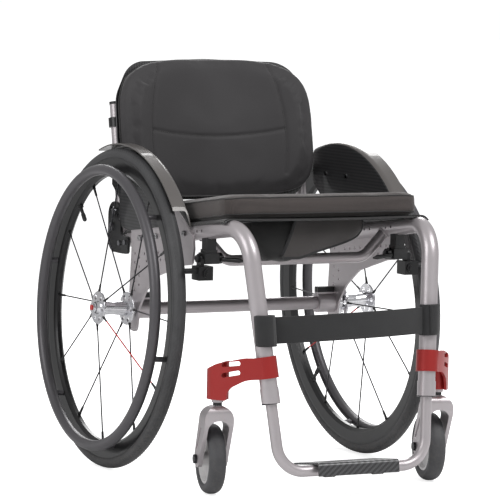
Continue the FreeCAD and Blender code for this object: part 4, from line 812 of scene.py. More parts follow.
def write_points(thing, spots):
    thing.data.vertices.foreach_set("co", spots.astype(np.float32).ravel())
    thing.data.update()


def bake(thing):
    """Replace a piece's mesh by what its modifiers make of it."""
    seen = thing.evaluated_get(bpy.context.evaluated_depsgraph_get())
    made = bpy.data.meshes.new_from_object(seen)
    thing.modifiers.clear()
    thing.data = made


def inflate(thing, voxel, pressure, cap, frames=20):
    """Close the form into even faces, blow it up a little as foam does inside its cover, and smooth it."""
    remesh = thing.modifiers.new("even", "REMESH")
    remesh.mode = "VOXEL"
    remesh.voxel_size = voxel
    bake(thing)
    rest = read_points(thing)
    cloth = thing.modifiers.new("cover", "CLOTH")
    settings = cloth.settings
    settings.use_pressure = True
    settings.uniform_pressure_force = pressure
    settings.effector_weights.gravity = 0
    settings.quality = 6
    settings.tension_stiffness = 12
    settings.compression_stiffness = 12
    cloth.point_cache.frame_start = 1
    cloth.point_cache.frame_end = frames
    for step in range(1, frames + 1):
        bpy.context.scene.frame_set(step)
    bake(thing)
    bpy.context.scene.frame_set(1)
    move = read_points(thing) - rest
    reach = np.linalg.norm(move, axis=1)[:, None]
    write_points(thing, rest + move * np.minimum(1, cap / np.maximum(reach, 1e-9)))
    subdivision = thing.modifiers.new("smooth", "SUBSURF")
    subdivision.levels = subdivision.render_levels = 1
    bake(thing)
    thing.data.polygons.foreach_set("use_smooth", np.full(len(thing.data.polygons), True))
    thing.data.update()


def press(thing, path, depth, width):
    """Sink a seam: vertices near the path move against their normal, by a bell curve of the distance."""
    spots = read_points(thing)
    nearest = np.full(len(spots), np.inf)
    for block in np.array_split(np.arange(len(spots)), 24):
        apart = np.linalg.norm(spots[block, None] - path[None], axis=2)
        nearest[block] = apart.min(1)
    sink = depth * np.exp(-(nearest / width) ** 2)
    write_points(thing, spots - read_normals(thing) * sink[:, None])


def settle(thing, path, facing, lift):
    """Bring a path onto a piece: each point goes to the nearest vertex that faces the same way.

    Gives the points, lifted off the surface, and the surface's normals there."""
    spots, directions = read_points(thing), read_normals(thing)
    keep = directions @ np.asarray(facing, float) > 0.25
    spots, directions = spots[keep], directions[keep]
    found = np.array([np.argmin(((spots - point) ** 2).sum(1)) for point in path])
    normal = directions[found]
    kernel = np.ones(7) / 7
    depth = np.einsum("ij,ij->i", spots[found] - path, normal)
    depth = np.convolve(np.pad(depth, 3, mode="edge"), kernel, mode="valid")
    smooth = np.stack([np.convolve(np.pad(normal[:, k], 3, mode="edge"), kernel, mode="valid")
                       for k in range(3)], -1)
    smooth /= np.linalg.norm(smooth, axis=1)[:, None]
    return path + smooth * (depth + lift)[:, None], smooth


def hug(thing, path, lift):
    """Bring a closed path onto a piece: each point goes to the nearest vertex, and the line of them
    is smoothed by a moving average and lifted along the surface's normals."""
    spots, directions = read_points(thing), read_normals(thing)
    found = np.array([np.argmin(((spots - point) ** 2).sum(1)) for point in path])
    kernel = np.ones(9) / 9
    line = spots[found] + directions[found] * lift
    wrapped = np.concatenate([line[-4:], line, line[:4]])
    return np.stack([np.convolve(wrapped[:, k], kernel, mode="valid") for k in range(3)], -1)


def cushion_form(place, low, high, plan_power, edge_power, rings=40, count=200):
    """Closed box-like cushion: rings of a superellipse in plan, whose size and height follow a
    superellipse from the middle of the bottom over the edge to the middle of the top."""
    s = np.linspace(-np.pi / 2, np.pi / 2, rings)[:, None]
    angle = circle(count)[None]
    spread = np.abs(np.cos(s)) ** edge_power
    lift = signed_power(np.sin(s), edge_power)
    middle, half = (low + high) / 2, (high - low) / 2
    x = middle[0] + half[0] * spread * signed_power(np.cos(angle), plan_power)
    y = middle[1] + half[1] * spread * signed_power(np.sin(angle), plan_power)
    return grid(place.out(x, y, middle[2] + half[2] * lift + 0 * angle), cap=False)


def make_cushion(sizes):
    low, high = SEAT.span("seat_cushion")
    shrink = sizes.cushion_start
    form = cushion_form(SEAT, low + shrink, high - shrink, 0.10, 0.16)
    cushion = piece("seat_cushion_cover", [form], finish("seat_knit"), "frame")
    inflate(cushion, sizes.voxel, sizes.pressure, sizes.cushion_cap)
    spots = read_points(cushion)
    local = (spots - SEAT.origin) @ np.stack([SEAT.x, SEAT.y, SEAT.z], -1)
    local = np.clip(local, low, high + (0.0, 0.0, 0.0015))
    middle, half = (low + high) / 2, (high - low) / 2
    dip = (1 - ((local[:, 0] - middle[0]) / half[0]) ** 2) * (1 - ((local[:, 1] - middle[1]) / half[1]) ** 2)
    top = local[:, 2] > middle[2] + 0.2 * half[2]
    local[:, 2] += np.where(top, -sizes.cushion_dip * np.clip(dip, 0, 1) + 0.0008, 0)
    write_points(cushion, SEAT.out(*local.T))
    angle = circle(720)
    half_plan = half[:2] + 0.0010
    welts = []
    for level in (high[2] + 0.0010, low[2] - 0.0010):
        x = middle[0] + half_plan[0] * signed_power(np.cos(angle), 0.10)
        y = middle[1] + half_plan[1] * signed_power(np.sin(angle), 0.10)
        path = smooth_path(np.stack([x, y], -1)[::3], 620, closed=True)
        path = hug(cushion, SEAT.out(path[:, 0], path[:, 1], np.full(len(path), level)), 0.0004)
        welts.append(carried(path, round_section(sizes.welt, 8), SEAT.z, closed=True))
    welt = piece("seat_cushion_welts", welts, finish("sling_cloth"), "frame")
    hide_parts("seat_cushion")
    return cushion, welt


def back_point(x, forward, up, bow):
    """Point of the curved backrest: x runs round an arc of the bow radius, forward towards its centre."""
    turn = x / bow
    reach = bow - forward
    return BACK.out(reach * np.sin(turn), reach * np.cos(turn) - bow + 0.001, up)


def make_back_pad(sizes):
    low, high = BACK.span("back_pad")
    bow, thick = sizes.back_bow, sizes.back_thickness
    half_arc = bow * math.asin(high[0] / bow) + sizes.pad_spread
    widest = low[2] + 0.49 * (high[2] - low[2])
    s = np.linspace(-np.pi / 2, np.pi / 2, 36)[:, None]
    angle = circle(220)[None]
    spread = np.abs(np.cos(s)) ** 0.30
    forward = thick / 2 + (thick / 2 - sizes.pad_start) * signed_power(np.sin(s), 0.50) + 0 * angle
    over = np.sin(angle) > 0
    power = np.where(over, 2 / 3.3, 2 / 4.6)
    x = half_arc * spread * signed_power(np.cos(angle), power)
    rise = np.where(over, high[2] - widest, widest - low[2]) + sizes.pad_spread
    up = widest + rise * spread * signed_power(np.sin(angle), power)
    pad = piece("back_pad_cover", [grid(back_point(x, forward, up, bow), cap=False)], finish("back_cover"),
                "backrest")
    inflate(pad, sizes.voxel, sizes.pressure, sizes.back_cap)
    seams = []
    t = np.linspace(-1, 1, 90)
    front = thick + 0.004
    for side in (-1, 1):
        run = np.linspace(0.16, 0.97, 110)
        across = side * (0.142 + 0.018 * np.sin(np.pi * run) - 0.020 * run)
        seams.append(back_point(across, np.full(run.shape, front), low[2] + run * (high[2] - low[2]), bow))
    smile = low[2] + 0.43 * (high[2] - low[2]) + 0.011 * t ** 2
    seams.append(back_point(0.148 * t, np.full(t.shape, front), smile, bow))
    threads = []
    for path in seams:
        on_pad, normal = settle(pad, path, -BACK.y, 0.0)
        press(pad, on_pad, sizes.seam_depth, 0.0035)
        threads += stitches(on_pad - normal * (sizes.seam_depth * 0.75), normal, 0.003, 0.0016, 0.0003)
    edge = circle(360)
    power = np.where(np.sin(edge) > 0, 2 / 3.3, 2 / 4.6)
    rise = np.where(np.sin(edge) > 0, high[2] - widest, widest - low[2])
    rim_x = half_arc * signed_power(np.cos(edge), power)
    rim_up = widest + rise * signed_power(np.sin(edge), power)
    rim = smooth_path(back_point(rim_x, np.full(edge.shape, 0.002), rim_up, bow), 520, closed=True)
    rim = hug(pad, rim, 0.0004)
    binding = carried(rim, round_section(0.0022, 10), BACK.y, True)
    piece("back_pad_seams", threads, finish("thread"), "backrest")
    piece("back_pad_binding", [binding], finish("sling_cloth"), "backrest")
    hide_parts("back_pad")
    return pad


# ---------------------------------------------------------------- stage
def make_stage():
    """A wide pale floor, a pale room and three soft lights."""
    made, tree, shader, spot = material("floor_paper", 0.8, specular=0.1)
    grain_out = placed(tree, grain_effect(), {"Vector": spot, "Scale": 220.0, "Patch Scale": 0.6})
    tree.put(shader.inputs["Base Color"], tree.mix(grain_out["Patches"], (0.86, 0.86, 0.865, 1),
                                                   (0.89, 0.89, 0.89, 1)))
    seen = tree.add("ShaderNodeLightPath").outputs["Is Camera Ray"]
    tree.put(shader.inputs["Emission Color"], tree.mix(seen, (0, 0, 0, 1), (1, 1, 1, 1)))
    shader.inputs["Emission Strength"].default_value = 0.72
    radius = np.array([2.0, 8.0, 40.0])[:, None]
    angle = circle(96)[None]
    rings = np.stack([radius * np.cos(angle), radius * np.sin(angle), 0 * radius * angle - 0.0004], -1)
    spots, skins, _ = grid(rings, cap=False)
    mesh = bpy.data.meshes.new("floor")
    mesh.from_pydata(spots.tolist(), [], skins[0].tolist() + [list(range(96))])
    shell = bmesh.new()
    shell.from_mesh(mesh)
    bmesh.ops.recalc_face_normals(shell, faces=shell.faces)
    if sum(face.normal.z for face in shell.faces) < 0:
        bmesh.ops.reverse_faces(shell, faces=shell.faces)
    shell.to_mesh(mesh)
    shell.free()
    floor = bpy.data.objects.new("floor", mesh)
    floor.data.materials.append(made)
    bpy.context.scene.collection.objects.link(floor)

    world = bpy.data.worlds.new("studio")
    bpy.context.scene.world = world
    world.use_nodes = True
    sky = Tree(world.node_tree)
    background = world.node_tree.nodes["Background"]
    seen = sky.add("ShaderNodeLightPath").outputs["Is Camera Ray"]
    sky.put(background.inputs["Color"], (1, 1, 1, 1))
    sky.put(background.inputs["Strength"], sky.math("MULTIPLY_ADD", seen, 0.52, 0.50))
    bpy.context.scene.view_settings.view_transform = "Standard"
    middle = np.array((0.0, 0.0, 0.4))
    lights = (("key", (1.0, -2.0, 2.6), 1.4, 50), ("side", (-2.6, -0.6, 1.7), 1.6, 26),
              ("rim", (1.2, 2.4, 1.8), 1.4, 34))
    for name, spot, size, power in lights:
        light = bpy.data.lights.new(name, "AREA")
        light.size = size
        light.energy = power
        lamp = bpy.data.objects.new(name, light)
        toward = unit(middle - np.array(spot))
        side = unit(np.cross(toward, UP))
        up = np.cross(side, toward)
        turn = Matrix([[side[k], up[k], -toward[k], spot[k]] for k in range(3)] + [[0, 0, 0, 1]])
        lamp.matrix_world = turn
        bpy.context.scene.collection.objects.link(lamp)


def make_camera(view):
    """Long lens at the height of a seated person, turned a little about its own axis."""
    azimuth, elevation = view.azimuth, view.elevation
    back = np.array((math.sin(azimuth) * math.cos(elevation), -math.cos(azimuth) * math.cos(elevation),
                     math.sin(elevation)))
    target = np.array(view.target)
    right = unit(np.cross(-back, UP))
    up = np.cross(right, -back)
    cos_roll, sin_roll = math.cos(view.roll), math.sin(view.roll)
    x_axis = right * cos_roll + up * sin_roll
    y_axis = -right * sin_roll + up * cos_roll
    spot = target + back * view.distance
    data = bpy.data.cameras.new("camera")
    data.lens = view.lens
    data.clip_end = 200
    camera = bpy.data.objects.new("camera", data)
    rows = [[x_axis[k], y_axis[k], back[k], spot[k]] for k in range(3)]
    camera.matrix_world = Matrix(rows + [[0, 0, 0, 1]])
    bpy.context.scene.collection.objects.link(camera)
    bpy.context.scene.camera = camera


# ---------------------------------------------------------------- sling, pouch and strap
def make_sling(sizes):
    """Seat sling: a cloth stretched between the rails, its edges rolled over their outer quarters.

    Across the seat the section is an arc round one rail, a run that dips in the middle, and an arc
    round the other rail; along the seat it is carried straight."""
    low, high = SEAT.span("seat_sling")
    half_thick = sizes.sling_thickness / 2
    half_spacing = abs(RAIL_REAR[1][0])
    radius = RAIL_RADIUS + half_thick + 0.0001
    rail_lift = (RAIL_REAR[1] - SEAT.origin) @ SEAT.z
    roll = np.radians(np.linspace(52, 0, 9))
    arc_x = half_spacing + radius * np.sin(roll)
    arc_z = rail_lift + radius * np.cos(roll)
    run = np.linspace(half_spacing, -half_spacing, 61)[1:-1]
    dip = arc_z[-1] - sizes.sling_dip * (1 - (run / half_spacing) ** 2)
    x = np.concatenate([arc_x, run, -arc_x[::-1]])
    z = np.concatenate([arc_z, dip, arc_z[::-1]])
    along = np.linspace(low[1], high[1], 70)
    points = SEAT.out(x[None], along[:, None], z[None])
    sheet = thick_sheet("seat_sling_cloth", points, half_thick, "sling_cloth", "frame")
    edge = SEAT.out(x, np.full(x.shape, low[1] + 0.0035), z - half_thick - 0.0012)
    hem = carried(edge, flat_section(0.008, 0.0012, 16), SEAT.y)
    rear = SEAT.out(x, np.full(x.shape, high[1] - 0.0035), z - half_thick - 0.0012)
    hems = piece("seat_sling_hems", [hem, carried(rear, flat_section(0.008, 0.0012, 16), SEAT.y)],
                 finish("strap_webbing"), "frame")
    bands = []
    for share in (0.16, 0.36, 0.56, 0.76):
        level = low[1] + share * (high[1] - low[1])
        inner = np.abs(x) < half_spacing - RAIL_RADIUS * 0.2
        path = SEAT.out(x[inner], np.full(inner.sum(), level), z[inner] - half_thick - 0.0022)
        bands.append(carried(path, flat_section(0.0235, 0.0009, 18), SEAT.y))
    piece("seat_tension_straps", bands, finish("strap_webbing"), "frame")
    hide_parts("seat_sling")


def thick_sheet(name, points, half_thick, cloth, body):
    """Cloth with thickness from one surface: the surface moved both ways along its normals, joined
    round the edge."""
    along = np.gradient(points, axis=0)
    across = np.gradient(points, axis=1)
    normal = np.cross(along, across)
    normal /= np.linalg.norm(normal, axis=2)[..., None]
    upper = points + normal * half_thick
    lower = points - normal * half_thick
    rings = np.concatenate([upper, lower[:, ::-1]], axis=1)
    return piece(name, [strip_closed(rings)], finish(cloth), body)


def strip_closed(rings):
    """Flat rings (upper row then lower row turned back) as a closed skin: the two ends are closed by
    faces between facing points, not by fans."""
    count, width = rings.shape[0], rings.shape[1] // 2
    spots, skins, maps = grid(rings, wrap_v=True, cap=False)
    k = np.arange(width - 1)
    ends = []
    for base, flip in ((0, False), ((count - 1) * 2 * width, True)):
        quad = np.stack([base + k, base + k + 1, base + 2 * width - 2 - k, base + 2 * width - 1 - k], -1)
        ends.append(quad if flip else quad[:, ::-1])
    step = np.linalg.norm(np.diff(rings[0, :width], axis=0), axis=1)
    run = np.concatenate([[0], np.cumsum(step)])
    for quad in ends:
        edge = np.stack([np.stack([0 * run[:-1], run[:-1]], -1), np.stack([0 * run[1:], run[1:]], -1),
                         np.stack([0 * run[1:] + 0.002, run[1:]], -1),
                         np.stack([0 * run[:-1] + 0.002, run[:-1]], -1)], 1)
        skins.append(quad)
        maps.append(edge.reshape(-1, 2))
    return spots, skins, maps


def make_pouch(sizes):
    """Storage pouch under the front of the seat: a sagging shell and a flap over its mouth.

    Each station across the shell is a loop that hangs from the sling. Its depth follows a smooth
    curve through a few shares of the pouch's height, deepest on the right of the chair; its ends
    are pinched, and creases fan down from the upper corners."""
    low, high = SEAT.span("seat_pouch")
    middle, half = (low + high) / 2, (high - low) / 2
    width = high[0] - low[0]
    hang = np.array([(0.0, 0.30), (0.05, 0.62), (0.13, 0.93), (0.24, 1.0), (0.40, 0.98), (0.58, 0.82),
                     (0.78, 0.66), (0.92, 0.52), (1.0, 0.40)])
    hang = smooth_path(hang, 240)

    def depth(x):
        """Height of the pouch below the sling at a distance across."""
        return np.interp((x - low[0]) / width, hang[:, 0], hang[:, 1]) * 2 * half[2]

    u = np.linspace(-1, 1, 91)[:, None]
    turn = circle(80)[None]
    ends = np.sqrt(np.clip(1 - np.abs(u) ** 7, 0, 1))
    x = middle[0] + (half[0] - 0.001) * u + 0 * turn
    fall = np.clip(np.sin(-turn), 0, 1)
    crease = 0.0014 * np.sin(17 * u + 2.2 * np.sin(turn)) * fall ** 2 * ends
    z = high[2] - (depth(x) - 0.0015) * (0.5 - 0.5 * signed_power(np.sin(turn), 0.6)) + crease
    pinch = 1 - 0.10 * fall ** 3
    y = middle[1] + (half[1] - 0.001) * (0.45 + 0.55 * ends) * pinch * signed_power(np.cos(turn), 0.5)
    shell = piece("seat_pouch_bag", [grid(SEAT.out(x, y, z))], finish("pouch_cloth"), "frame")
    subdivision = shell.modifiers.new("smooth", "SUBSURF")
    subdivision.levels = subdivision.render_levels = 1
    bake(shell)
    s = np.linspace(0, 1, 60)[:, None]
    t = np.linspace(0, 1, 110)[None]
    start, end = low[0] + sizes.flap_inset, high[0] - 0.004
    flap_x = start + (end - start) * t - 0.030 * s * (1 - t) ** 2
    reach = np.minimum(depth(flap_x) - 0.004, sizes.flap_drop + 0 * flap_x)
    reach = reach * (1 - np.exp(-(1 - t) / 0.05) * 0.25)
    fold = 0.0009 * np.sin(9 * t + 3 * s) * s
    flap_z = high[2] - 0.0005 - reach * s
    front = low[1] - 0.0006 - 0.0025 * np.sin(np.pi * s) + 0.006 * s ** 3 + fold
    flap = thick_sheet("seat_pouch_flap", SEAT.out(flap_x, front, flap_z), 0.0008, "flap_cloth", "frame")
    bound = np.concatenate([np.stack([flap_x[:, 0], front[:, 0], flap_z[:, 0]], -1)[:-4],
                            np.stack([flap_x[-1], front[-1], flap_z[-1]], -1)[4:-4:4],
                            np.stack([flap_x[::-1, -1], front[::-1, -1], flap_z[::-1, -1]], -1)[4:]])
    bound = smooth_path(bound, 260)
    path = SEAT.out(bound[:, 0], bound[:, 1] - 0.0002, bound[:, 2])
    tape = piece("seat_pouch_binding", [carried(path, flat_section(0.0030, 0.0013, 14), SEAT.z)],
                 finish("strap_webbing"), "frame")
    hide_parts("seat_pouch")


def make_strap(sizes):
    """Calf strap: a cuff round each leg and a band that bows back between them.

    A cuff is an arc round its leg, square to it, with a shorter tail lapped over it; the band's
    middle line is a parabola from cuff to cuff, tilted as its two cuffs are, and it is carried up
    the legs from that line."""
    _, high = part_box("calf_strap")
    radius = RAIL_RADIUS + 0.0003 + sizes.strap_thickness / 2
    spots = corners("calf_strap")
    centre = {}
    for side in (-1, 1):
        near = spots[spots[:, 0] * side > abs(LEG[side][0][0]) - RAIL_RADIUS / 2]
        level = (near[:, 2].min() + near[:, 2].max()) / 2
        spot, up = LEG[side]
        centre[side] = spot + up * ((level - spot[2]) / up[2])
    leg_up = unit(LEG[1][1] * (0, 1, 1))
    across = unit(centre[1] - centre[-1])
    rear = unit(np.cross(leg_up, -ACROSS))
    middle = (centre[1] + centre[-1]) / 2
    half_gap = np.linalg.norm(centre[1] - centre[-1]) / 2
    run = np.linspace(-1, 1, 90)[1:-1, None]
    sag = high.y - middle[1] - sizes.strap_thickness
    bridge = middle - across * (half_gap - 0.004) * run + rear * (sag * (1 - run ** 2) + 0.001)
    thick = sizes.strap_thickness / 2
    band = carried(bridge, flat_section(sizes.band_width / 2, thick, 24, 0.25), np.cross(rear, across))
    cuffs = []
    around = np.radians(np.linspace(195, -120, 64))[:, None]
    for side in (-1, 1):
        inward = -side * ACROSS
        wide = LEG[side][1]
        ring = centre[side] + radius * (np.cos(around) * inward + np.sin(around) * rear)
        cuffs.append(carried(ring, flat_section(sizes.cuff_width / 2, thick, 24, 0.25), wide))
        lap = radius + 2.04 * thick
        tail = centre[side] + lap * (np.cos(around[:26]) * inward + np.sin(around[:26]) * rear)
        cuffs.append(carried(tail, flat_section(sizes.cuff_width * 0.48, thick, 20, 0.25), wide))
    strap = piece("calf_strap_band", [band], finish("strap_webbing"), "frame")
    wraps = piece("calf_strap_cuffs", cuffs, finish("strap_webbing"), "frame")
    rows = []
    for sign in (-1, 1):
        edge = leg_up * (sign * (sizes.band_width / 2 - 0.003))
        rows += stitches(bridge + edge - rear * (thick + 0.0001), -rear, 0.003, 0.002, 0.0003)
    piece("calf_strap_stitching", rows, finish("thread"), "frame")
    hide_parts("calf_strap")


# ---------------------------------------------------------------- wheels
def make_tyres(sizes):
    """Rear tyres: a torus whose tread half carries small blocks.

    The tread is a height worked out on two angles: two grooves run round the wheel, and slanted
    sipes cross the ribs, the other way on each side; the part inside the rim is flattened on it."""
    for name, side in SIDES:
        place = WHEEL[side]
        _, outer, low, high = ring_span("tyre_" + name, place.origin, place.z)
        section = (high - low) / 2
        centre_line = outer - section
        seat = ring_span("rim_" + name, place.origin, place.z)[1] - 0.0001
        around = circle(sizes.tread_blocks * 6)[:, None]
        phi = circle(52)[None]
        across = section * np.where(phi > np.pi, phi - 2 * np.pi, phi)
        pitch = sizes.tread_blocks * around / (2 * np.pi)
        slant = pitch + np.abs(across) / 0.006
        sipes = np.clip((np.cos(2 * np.pi * slant) - 0.45) / 0.3, 0, 1)
        middle = np.clip((np.cos(4 * np.pi * (pitch - across / 0.009)) - 0.6) / 0.3, 0, 1)
        shoulder = (np.abs(across) > 0.0045) & (np.abs(across) < 0.0135)
        grooves = np.exp(-((np.abs(across) - 0.0045) / 0.0006) ** 2)
        crest = np.where(np.abs(across) <= 0.0045, middle * 0.8, 0)
        cut = np.maximum(np.where(shoulder, sipes, crest), grooves)
        wall = 0.0005 * np.exp(-((np.abs(across) - 0.019) / 0.0007) ** 2)
        radius = section - 0.0002 - sizes.tread_depth * cut * (np.abs(across) < 0.0145)
        reach = np.maximum(centre_line + radius * np.cos(phi), seat)
        lift = radius * np.sin(phi)
        lift = np.sign(lift) * np.minimum(np.abs(lift) + wall, section)
        points = place.out(reach * np.cos(around), reach * np.sin(around), lift)
        tyre = piece("rear_tyre_" + name, [grid(points, wrap_u=True, wrap_v=True, cap=False)],
                     finish("tyre_rubber"), "rear_wheel_" + name, merge=1e-7)
        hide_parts("tyre_" + name)


def make_wheel_trim(sizes):
    """Nipples at both ends of each spoke, the tube's valve, hub seals and a bead round each hub flange."""
    for name, side in SIDES:
        place = WHEEL[side]
        body = "rear_wheel_" + name
        rim_inner = ring_span("rim_" + name, place.origin, place.z)[0]
        hub_outer = ring_span("hub_" + name, place.origin, place.z)
        spokes = ring_span("spokes_" + name, place.origin, place.z)
        nipples = []
        rim_profile = [(0.0, 0.0001), (0.0030, 0.0001), (0.0030, -0.003), (0.0024, -0.004), (0.0022, -0.016),
                       (0.0016, -0.018), (0.0, -0.018)]
        hub_profile = [(0.0, -0.0005), (0.0026, -0.0005), (0.0026, 0.003), (0.0021, 0.004), (0.0019, 0.012),
                       (0.0014, 0.0135), (0.0, 0.0135)]
        for k in range(sizes.spokes):
            angle = 2 * math.pi * k / sizes.spokes
            lateral = (spokes[3] - 0.001) * (1 if k % 2 else -1)
            radial = place.x * math.cos(angle) + place.y * math.sin(angle)
            first = place.origin + radial * spokes[0] + place.z * lateral
            last = place.origin + radial * (rim_inner - 0.0001) + place.z * lateral * 0.08
            way = unit(last - first)
            nipples.append(turned(Place(last, place.z, way), rim_profile, 14, closed=False))
            nipples.append(turned(Place(first, place.z, way), hub_profile, 14, closed=False))
        piece("spoke_nipples_" + name, nipples, finish("black_alloy"), body)
        angle = 2 * math.pi * (10.5 if side > 0 else 4.5) / sizes.spokes
        radial = place.x * math.cos(angle) + place.y * math.sin(angle)
        spot = Place(place.origin + radial * (rim_inner + 0.001), place.z, -radial)
        stem = [(0.0, 0.0), (0.0058, 0.0), (0.0058, 0.003), (0.0033, 0.0035), (0.0033, 0.020), (0.0, 0.020)]
        threads = np.linspace(0.0205, 0.0345, 36)
        cap_outline = [(0.0, 0.0200)] + [(0.0040 + 0.0002 * (k % 2), z) for k, z in enumerate(threads)]
        cap_outline += [(0.0030, 0.0365), (0.0, 0.0368)]
        piece("valve_" + name, [turned(spot, soften(stem, 0.0005), 20, closed=False),
                                turned(spot, cap_outline, 20, closed=False)],
              finish("black_plastic"), body)
        seals = []
        for end, sign in ((hub_outer[3], 1), (hub_outer[2], -1)):
            seal = Place(place.origin + place.z * (end - sign * 0.0002), place.x, place.z * sign)
            outline = [(0.0066, 0.0), (0.0066, 0.0004), (0.0096, 0.0006),
                       (0.0104, 0.0002), (0.0104, -0.0004), (0.0066, -0.0004)]
            seals.append(turned(seal, soften(outline, 0.0002), 64))
        piece("hub_seals_" + name, seals, finish("black_plastic"), body)
        rings = []
        flange = hub_outer[1]
        for level in (spokes[3] - 0.001, -(spokes[3] - 0.001)):
            bead = Place(place.origin + place.z * level, place.x, place.z)
            rings.append(turned(bead, [(flange - 0.0002 + 0.0012 * math.cos(a), 0.0014 * math.sin(a))
                                       for a in circle(12)], 180))
        piece("hub_flange_beads_" + name, rings, finish("polished_alloy"), body)


def make_casters():
    """Caster tyres with a crowned tread, a parting line and pressed side rings, and hub bearings."""
    for name, side in SIDES:
        place = CASTER[side]
        body = "caster_wheel_" + name
        inner, outer, low, high = ring_span("caster_tyre_" + name, place.origin, place.z)
        half = (high - low) / 2
        bow = np.linspace(-1, 1, 49)
        crown = outer - 0.0045 * np.abs(bow) ** 2.6 - 0.0003 * np.exp(-(bow / 0.02) ** 2)
        tread = np.stack([crown, half * 0.86 * bow], -1)
        wall = np.linspace(0, 1, 18)[1:, None]
        upper = tread[-1] + wall * (np.array((inner + 0.002, half * 0.93)) - tread[-1])
        upper[:, 1] = np.minimum(half, upper[:, 1] + 0.0022 * np.sin(np.pi * wall[:, 0]) ** 0.8
                                 - 0.0006 * np.exp(-((wall[:, 0] - 0.62) / 0.05) ** 2))
        lower = upper[::-1] * (1, -1)
        profile = np.concatenate([tread, upper, [(inner, half * 0.8), (inner, -half * 0.8)], lower])
        tyre = piece("caster_tyre_" + name + "_tread", [turned(place, profile, 220)], finish("caster_rubber"),
                     body)
        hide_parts("caster_tyre_" + name)
        hub = ring_span("caster_hub_" + name, place.origin, place.z)
        bearings = []
        for sign in (1, -1):
            spot = Place(place.origin + place.z * sign * (hub[3] - 0.0004), place.x, place.z * sign)
            shield = [(hub[0] + 0.0003, 0.0), (hub[0] + 0.0008, 0.0010), (0.0078, 0.0010), (0.0082, 0.0004),
                      (0.0100, 0.0004), (0.0104, -0.0006), (hub[0] + 0.0003, -0.0006)]
            bearings.append(turned(spot, soften(shield + shield[:1], 0.0003), 64))
        piece("caster_bearing_shields_" + name, bearings, finish("dark_steel"), body)


# ---------------------------------------------------------------- hard trim
def saddle_bead(start, way, radius, rail_point, rail_way, rail_radius, bead):
    """Weld bead where a tube meets a rail: each point of the tube's circle is moved along the tube
    until its distance from the rail's axis is the rail's radius, and a rippled bead follows it."""
    place = Place(start, rail_way, way)
    angle = circle(160)
    ring = place.out(radius * np.cos(angle), radius * np.sin(angle), 0 * angle)
    away = ring - rail_point
    away = away - np.outer(away @ rail_way, rail_way)
    run = place.z - rail_way * (place.z @ rail_way)
    a, b, c = run @ run, 2 * away @ run, (away ** 2).sum(1) - rail_radius ** 2
    root = np.sqrt(np.maximum(b ** 2 - 4 * a * c, 0))
    near = (-b - root) / (2 * a)
    path = ring + near[:, None] * place.z
    ripple = bead * (1 + 0.16 * np.sin(44 * angle))
    section = round_section(1.0, 10)[None] * ripple[:, None, None]
    return carried(path, section, place.z, closed=True)


def socket_head(spot, way, radius, height, hex_size):
    """Cap screw seen from outside: a knurled rim, a chamfer and a six-sided socket."""
    across = np.cross(way, UP) if abs(way[2]) < 0.9 else ACROSS
    place = Place(spot, across, way)
    angle = circle(72)[:, None]
    six = hex_size / np.cos((angle + np.pi / 6) % (np.pi / 3) - np.pi / 6)
    knurl = 1 + 0.03 * np.sign(np.sin(36 * angle))
    columns = [(radius * knurl, 0.0), (radius * knurl, height * 0.75), (radius * 0.9 + 0 * angle, height),
               (six * 1.08, height), (six, height * 0.9), (six, height * 0.35), (0 * six, height * 0.3)]
    reach = np.concatenate([r for r, _ in columns], axis=1)
    lift = np.array([h for _, h in columns])[None]
    base = np.concatenate([0 * angle, reach], axis=1)
    lift = np.concatenate([[[0.0]], lift], axis=1)
    points = place.out(base * np.cos(angle), base * np.sin(angle), lift + 0 * angle)
    return grid(points, wrap_u=True, wrap_v=False, cap=False)


def make_screws():
    """Socket heads over the plain heads of the screws in the side plates and sideguards."""
    spots = corners("frame_screws")
    heads = []
    for centre in loose_centres("frame_screws"):
        near = spots[np.linalg.norm(spots - centre, axis=1) < 0.009]
        radius = np.ptp(near[:, 2]) / 2
        deep = np.ptp(np.abs(near[:, 0]))
        way = ACROSS * np.sign(centre[0])
        heads.append(socket_head(centre - way * deep / 2, way, radius * 0.98, deep + 0.0012, radius * 0.45))
    piece("frame_screws_sockets", heads, finish("bright_screw"), "frame")


def loose_centres(node):
    """Middle of each separate solid of a CAD node."""
    shell = bmesh.new()
    shell.from_mesh(frame["nodes"][node].data)
    bmesh.ops.remove_doubles(shell, verts=shell.verts, dist=1e-5)
    left = set(shell.verts)
    middles = []
    while left:
        reached, edge = set(), [next(iter(left))]
        while edge:
            vertex = edge.pop()
            if vertex in reached:
                continue
            reached.add(vertex)
            edge += [other.other_vert(vertex) for other in vertex.link_edges]
        left -= reached
        spots = np.array([v.co for v in reached])
        middles.append((spots.min(0) + spots.max(0)) / 2)
    shell.free()
    return sorted(middles, key=lambda spot: tuple(np.round(spot, 5)))


def make_welds(sizes):
    """Weld beads at the ends of the seat's cross tube and of the bar between the back posts."""
    beads = []
    low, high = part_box("seat_cross_tube")
    level = np.array((0, (low.y + high.y) / 2, 0))
    for side in (-1, 1):
        rail = RAIL_REAR[side]
        forward = SEAT_FORWARD
        meet = rail + forward * ((level[1] - rail[1]) / forward[1])
        corner = np.array((side * sizes.cross_half, level[1], low.z + sizes.cross_radius))
        way = unit(meet - corner)
        beads.append(saddle_bead(corner, way, sizes.cross_radius, meet, forward, RAIL_RADIUS, sizes.weld))
    piece("frame_weld_beads", beads, finish("frame_silver"), "frame")
    beads = []
    low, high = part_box("back_bar")
    radius = (high.y - low.y) / 2
    for side in (-1, 1):
        post = POST_AXIS[side]
        bar = np.array((side * (high.x - 0.06), (low.y + high.y) / 2, (low.z + high.z) / 2))
        beads.append(saddle_bead(bar, ACROSS * side, radius, post, POST_UP, POST_RADIUS, sizes.weld * 0.8))
    piece("back_weld_beads", beads, finish("black_alloy"), "backrest")


